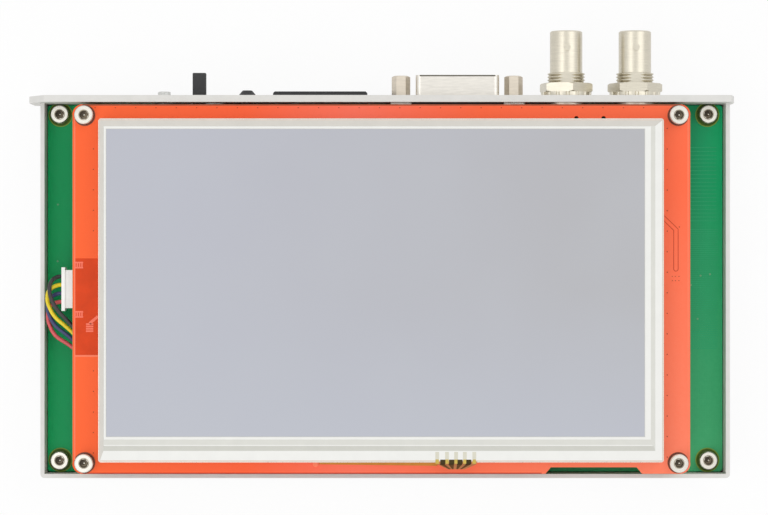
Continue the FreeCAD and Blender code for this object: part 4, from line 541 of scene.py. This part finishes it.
for pad in TAIL_PADS:
    x0, x1, e0, e1 = (middle + v for v in pad)
    pads.box(x0, x1, edge_y - FOLD, edge_y + 0.9, TOP - 0.04, TOP + 0.01, 0.006)
    pads.box(x0, x1, edge_y - 0.36, edge_y - FOLD, board_z + 0.2, TOP - 0.04)
    pads.box(x0, x1, edge_y - 1.0, edge_y - 0.36, board_z + FILM, board_z + 0.26, 0.02)
    tracks.prism([(e0, edge_y - 2.35), (e1, edge_y - 2.35), (x1, edge_y - 0.98), (x0, edge_y - 0.98)],
                 board_z + FILM, board_z + 0.22)
for piece in (tabs, bends, pads, tracks):
    piece.done()

# ---- display board: vias, tracks, bare area, pads, edges ------------------------------
PRINT = 0.02                 # vias and track edges above the board
PAD = 0.05                   # copper pads above the board
PAD_BEVEL = 0.012
TRACK_EDGE = 0.2
CUT_EDGE = 0.12
BOARD = 1.55
cx = (red_low.x + red_high.x) / 2
cy = (red_low.y + red_high.y) / 2
z = board_z
vias = Piece("display_board_vias", "board_red", VIA_RED)
via_places = [(83.85, 47.1 - 6.025 * step, 0.17) for step in range(17)]
via_places += [(-84.0 + 5.96 * step, 53.2, 0.15) for step in range(28)]
via_places += [(-84.47, y, 0.16) for y in (41.1, 35.1, 29.1, 23.1, 17.1, -24.0, -30.0, -36.1, -42.1, -48.1)]
via_places += [(x, y, 0.13) for y in (3.7, 2.45) for x in (85.35, 86.25, 87.3)]
via_places.append((87.4, 18.2, 0.16))
for x, y, radius in via_places:
    vias.disc(cx + x, cy + y, radius, z, z + PRINT, 12)
vias.done()
lines = Piece("display_board_track_edges", "board_red", LINE_RED)
lines.strip([(cx + 83.0, cy + 21.5), (cx + 87.05, cy + 17.6), (cx + 87.05, cy + 6.2)], TRACK_EDGE, z, z + PRINT)
lines.strip([(cx + 83.0, cy + 19.9), (cx + 85.75, cy + 17.2), (cx + 85.75, cy + 6.2)], TRACK_EDGE, z, z + PRINT)
turn = []
for step in range(13):
    angle = math.pi + math.pi * step / 12
    turn.append((cx + 86.4 + 0.65 * math.cos(angle), cy + 5.9 + 0.65 * math.sin(angle)))
lines.strip([(cx + 85.75, cy + 6.3)] + turn + [(cx + 87.05, cy + 6.3)], TRACK_EDGE, z, z + PRINT)
# darker line along the board's bottom edge
lines.strip([(red_low.x + 3.0, red_low.y + 0.15), (cx + 47.0, red_low.y + 0.15)], 0.3, z, z + PRINT)
lines.done()
bare = Piece("display_board_bare_area", "board_red", BARE_RED)
bare.box(red_low.x + 0.5, cx - 83.1, cy - 19.4, cy + 9.0, z, z + 0.015)
bare.done()
ridges = Piece("display_board_copper_ridges", "board_red", RIDGE_RED)
ridges.box(red_low.x + 0.5, cx - 83.1, cy - 19.9, cy - 19.35, z, z + 0.05, 0.015)
ridges.box(red_low.x + 0.5, red_low.x + 0.85, red_low.y + 4.0, red_high.y - 4.0, z, z + 0.04, 0.012)
ridges.box(red_high.x - 0.85, red_high.x - 0.5, red_low.y + 4.0, red_high.y - 4.0, z, z + 0.04, 0.012)
ridges.done()
marks = Piece("display_board_pads", "board_red", PAD_RED)
for y in (6.05, -8.4):
    marks.box(cx - 90.2, cx - 87.5, cy + y, cy + y + 0.45, z, z + PAD, PAD_BEVEL)
    marks.box(cx - 90.2, cx - 87.5, cy + y + 1.5, cy + y + 1.95, z, z + PAD, PAD_BEVEL)
    for step in range(4):
        x = cx - 90.1 + step * 0.68
        marks.box(x, x + 0.42, cy + y + 0.4, cy + y + 1.55, z, z + PAD, PAD_BEVEL)
for row in range(4):
    marks.box(cx - 86.65, cx - 84.5, cy - 12.6 + row * 0.68, cy - 12.1 + row * 0.68, z, z + PAD, PAD_BEVEL)
marks.strip([(cx - 85.6, cy - 10.2), (cx - 85.4, cy - 9.9), (cx - 83.1, cy - 8.0)], 0.8, z, z + PAD)
marks.done()
# bare margin along the board's top edge, with the front panel's painted shadow darkening it
margin_shadow = Piece("display_board_top_margin_shadow", "board_red", PAD_BROWN)
margin_shadow.box(red_low.x + 3.0, red_high.x - 3.0, red_high.y - 0.42, red_high.y, z, z + 0.015)
margin_shadow.done()
tan = Piece("display_board_cut_edge", "board_red", EDGE_TAN)
tan.box(red_low.x, red_low.x + CUT_EDGE, red_low.y + 3.2, red_high.y - 3.2, z - BOARD, z + 0.01)
tan.box(red_high.x - CUT_EDGE, red_high.x, red_low.y + 3.2, red_high.y - 3.2, z - BOARD, z + 0.01)
tan.done()

# ---- main board: screw pads, track field, vias ---------------------------------------
PAD_INNER, PAD_OUTER, PAD_RIM = 1.8, 3.3, 3.6   # copper round a screw head
FINE_TRACKS = (58, 0.62)     # number and pitch in the right-hand field
COARSE_TRACKS = (20, 1.15)
MAIN_VIAS = (
    (91.2, 1.0), (96.9, 4.2), (94.1, 3.8), (90.5, 20.4),
    (93.2, -9.1), (91.0, -19.4), (-97.7, 8.1), (-97.6, 25.0),
)
main_low, main_high = box_mm("main_board")
mx = (main_low.x + main_high.x) / 2
my = (main_low.y + main_high.y) / 2
mz = main_high.z
rings = Piece("main_board_screw_pads", "board_green", OLIVE)
rims = Piece("main_board_pad_rims", "board_green", OLIVE_RIM)
for x, y, _ in cap_places("main_board_screws"):
    rings.ring(x, y, PAD_INNER, PAD_OUTER, mz, mz + 0.03)
    rims.ring(x, y, PAD_OUTER, PAD_RIM, mz, mz + 0.05)
rings.done()
rims.done()
field = Piece("main_board_tracks", "board_green", LINE_GREEN)
for step in range(FINE_TRACKS[0]):
    y = my + 17.5 - step * FINE_TRACKS[1]
    short = 0.6 if step % 5 == 2 else 0.0
    field.box(mx + 87.5, mx + 99.2 - short, y - 0.12, y + 0.12, mz, mz + 0.03)
for step in range(COARSE_TRACKS[0]):
    y = my + 42.0 - step * COARSE_TRACKS[1]
    field.box(mx + 90.0 + 0.5 * (step % 3), mx + 98.8, y - 0.1, y + 0.1, mz, mz + 0.025)
field.done()
dots = Piece("main_board_vias", "board_green", VIA_GREEN)
for x, y in MAIN_VIAS:
    dots.disc(mx + x, my + y, 0.3, mz, mz + 0.04, 16)
dots.done()

# ---- socket cap screws: painted shade in the drive hollows and on their rims, a bright steel bump in each, and a painted shadow line with a bare pad round each display board head ---
HEX_RADIUS = 1.3
DRIVE_FLOOR = 0.6            # bottom of the drive hollow below the head's top
floor_shades = Piece("screw_drive_floor_shade", "steel", DRIVE_FLOOR_SHADE)
wall_shades = Piece("screw_drive_wall_shade", "steel", DRIVE_WALL_SHADE)
glints = Piece("screw_drive_tips", "steel", GLINT)
mouth_shades = Piece("screw_drive_mouth_shade", "steel", MOUTH_SHADE)
caps = cap_places("main_board_screws") + cap_places("display_board_screws")
for number, (x, y, top) in enumerate(caps):
    turn = math.radians(9.0 + 17.0 * number)
    # painted shade: a dark floor, dark walls and an off-centre dark patch inside each drive hollow, and a
    # darker ring on its rim
    floor_shades.prism(circle(x, y, HEX_RADIUS, 6, turn), top - 1.5, top - DRIVE_FLOOR)
    wall_shades.ring(x, y, 1.12, 1.42, top - 0.5, top - 0.02, 6)
    mouth_shades.ring(x, y, 1.3, 1.58, top - 0.05, top + 0.012, 30)
    wall_shades.disc(x - 0.25, y + 0.2, 0.75, top - DRIVE_FLOOR, top - 0.5, 20)
    glints.disc(x + 0.1, y, 0.28, top - 0.5, top - 0.3, 16, 0.1)
for piece in (floor_shades, wall_shades, glints, mouth_shades):
    piece.done()
# painted shadow ring on the board round each display board head, with the bare brown pad outside it
shadow_rings = Piece("display_screw_shadow_rings", "board_red", SHADOW)
lands = Piece("display_screw_pads", "board_red", PAD_BROWN)
for x, y, top in cap_places("display_board_screws"):
    shadow_rings.ring(x, y, 2.6, 2.98, red_high.z, red_high.z + 0.02)
    lands.ring(x, y, 2.98, 3.15, red_high.z, red_high.z + 0.02)
shadow_rings.done()
lands.done()

# ---- D connector: painted shade along the rolled lip at the mouth of the shell ---------
shell_low, shell_high = box_mm("dsub_shell")
jack_low, jack_high = box_mm("dsub_jackscrews")
SHELL_HALF = 12.1            # half the shell's width at its mouth
SHELL_RISE = 4.15            # middle to top at the mouth
LIP_END = 0.9
middle = (jack_low.x + jack_high.x) / 2
reach = SHELL_HALF - LIP_END
lip = Piece("dsub_shell_lip_shade", "nickel", LIP_SHADE)
top = (shell_low.z + shell_high.z) / 2 + SHELL_RISE
lip.box(middle - reach, middle + reach, shell_high.y - 0.42, shell_high.y - 0.02, top - 0.35, top - 0.16, 0.02)
lip.done()

# ---- floor, light, camera ---------------------------------------------------------------
def seen_plainly(tree):
    """1 for the rays that show the background as plain white: camera, glossy and transmission."""
    path = tree.nodes.new("ShaderNodeLightPath")
    result = path.outputs["Is Camera Ray"]
    for ray in ("Is Glossy Ray", "Is Transmission Ray"):
        either = tree.nodes.new("ShaderNodeMath")
        either.operation = "MAXIMUM"
        tree.links.new(result, either.inputs[0])
        tree.links.new(path.outputs[ray], either.inputs[1])
        result = either.outputs[0]
    return result


FLOOR_WHITE = 0.9            # share of plain white where the floor is seen; the rest keeps the shadow
FLOOR_GAP = 0.0002
STUDIO_LIGHT = 0.74
floor_mesh = bpy.data.meshes.new("floor")
bm = bmesh.new()
bmesh.ops.create_grid(bm, x_segments=2, y_segments=2, size=3.0)
bm.to_mesh(floor_mesh)
bm.free()
floor = bpy.data.objects.new("floor", floor_mesh)
floor.location.z = cad_box[0][2] - FLOOR_GAP
bpy.context.scene.collection.objects.link(floor)
paper = Surface("paper", specular=0.1)
mottle = paper.ramp(paper.noise(40.0), 0.0, 1.0)
paper.colour(paper.blend(mottle, linear((246, 246, 246)), linear((243, 243, 243))))
paper.roughness(paper.ramp(paper.noise(300.0), 0.8, 0.9))
bright = paper.node("Emission")
bright.inputs["Strength"].default_value = 1.0
mix = paper.node("MixShader")
share = paper.node("Math", operation="MULTIPLY")
share.inputs[1].default_value = FLOOR_WHITE
paper.link(seen_plainly(paper.tree), share.inputs[0])
paper.link(share.outputs[0], mix.inputs[0])
paper.link(paper.shader.outputs[0], mix.inputs[1])
paper.link(bright.outputs[0], mix.inputs[2])
paper.link(mix.outputs[0], paper.tree.nodes["Material Output"].inputs[0])
floor_mesh.materials.append(paper.material)

scene = bpy.context.scene
world = bpy.data.worlds.new("studio")
scene.world = world
world.use_nodes = True
tree = world.node_tree
back = tree.nodes["Background"]
back.inputs["Color"].default_value = (1.0, 1.0, 1.0, 1.0)
back.inputs["Strength"].default_value = STUDIO_LIGHT
plate = tree.nodes.new("ShaderNodeBackground")
plate.inputs["Color"].default_value = (1.0, 1.0, 1.0, 1.0)
plate.inputs["Strength"].default_value = 1.0
choose = tree.nodes.new("ShaderNodeMixShader")
tree.links.new(seen_plainly(tree), choose.inputs[0])
tree.links.new(back.outputs[0], choose.inputs[1])
tree.links.new(plate.outputs[0], choose.inputs[2])
tree.links.new(choose.outputs[0], tree.nodes["World Output"].inputs[0])


def lamp(name, size, energy, place, target):
    """Area lamp aimed at a target."""
    data = bpy.data.lights.new(name, "AREA")
    data.shape = "RECTANGLE"
    data.size, data.size_y = size
    data.energy = energy
    made = bpy.data.objects.new(name, data)
    made.location = place
    aim = Vector(target) - Vector(place)
    made.rotation_euler = aim.to_track_quat("-Z", "Y").to_euler()
    scene.collection.objects.link(made)


lamp("key", (1.6, 1.2), 7.0, (-0.75, -0.5, 1.3), (0, 0, 0.02))
lamp("fill", (1.6, 1.2), 5.0, (0.85, 0.6, 1.25), (0, 0, 0.02))

cam_data = bpy.data.cameras.new("camera")
cam_data.sensor_width = 36.0
cam_data.lens = 138.95
cam_data.clip_start = 0.01
cam_data.clip_end = 20.0
camera = bpy.data.objects.new("camera", cam_data)
camera.location = (0.00076, -0.00085, 0.896)
camera.rotation_euler = (0.0, 0.0, 0.0)
scene.collection.objects.link(camera)
scene.camera = camera
scene.view_settings.view_transform = "Standard"
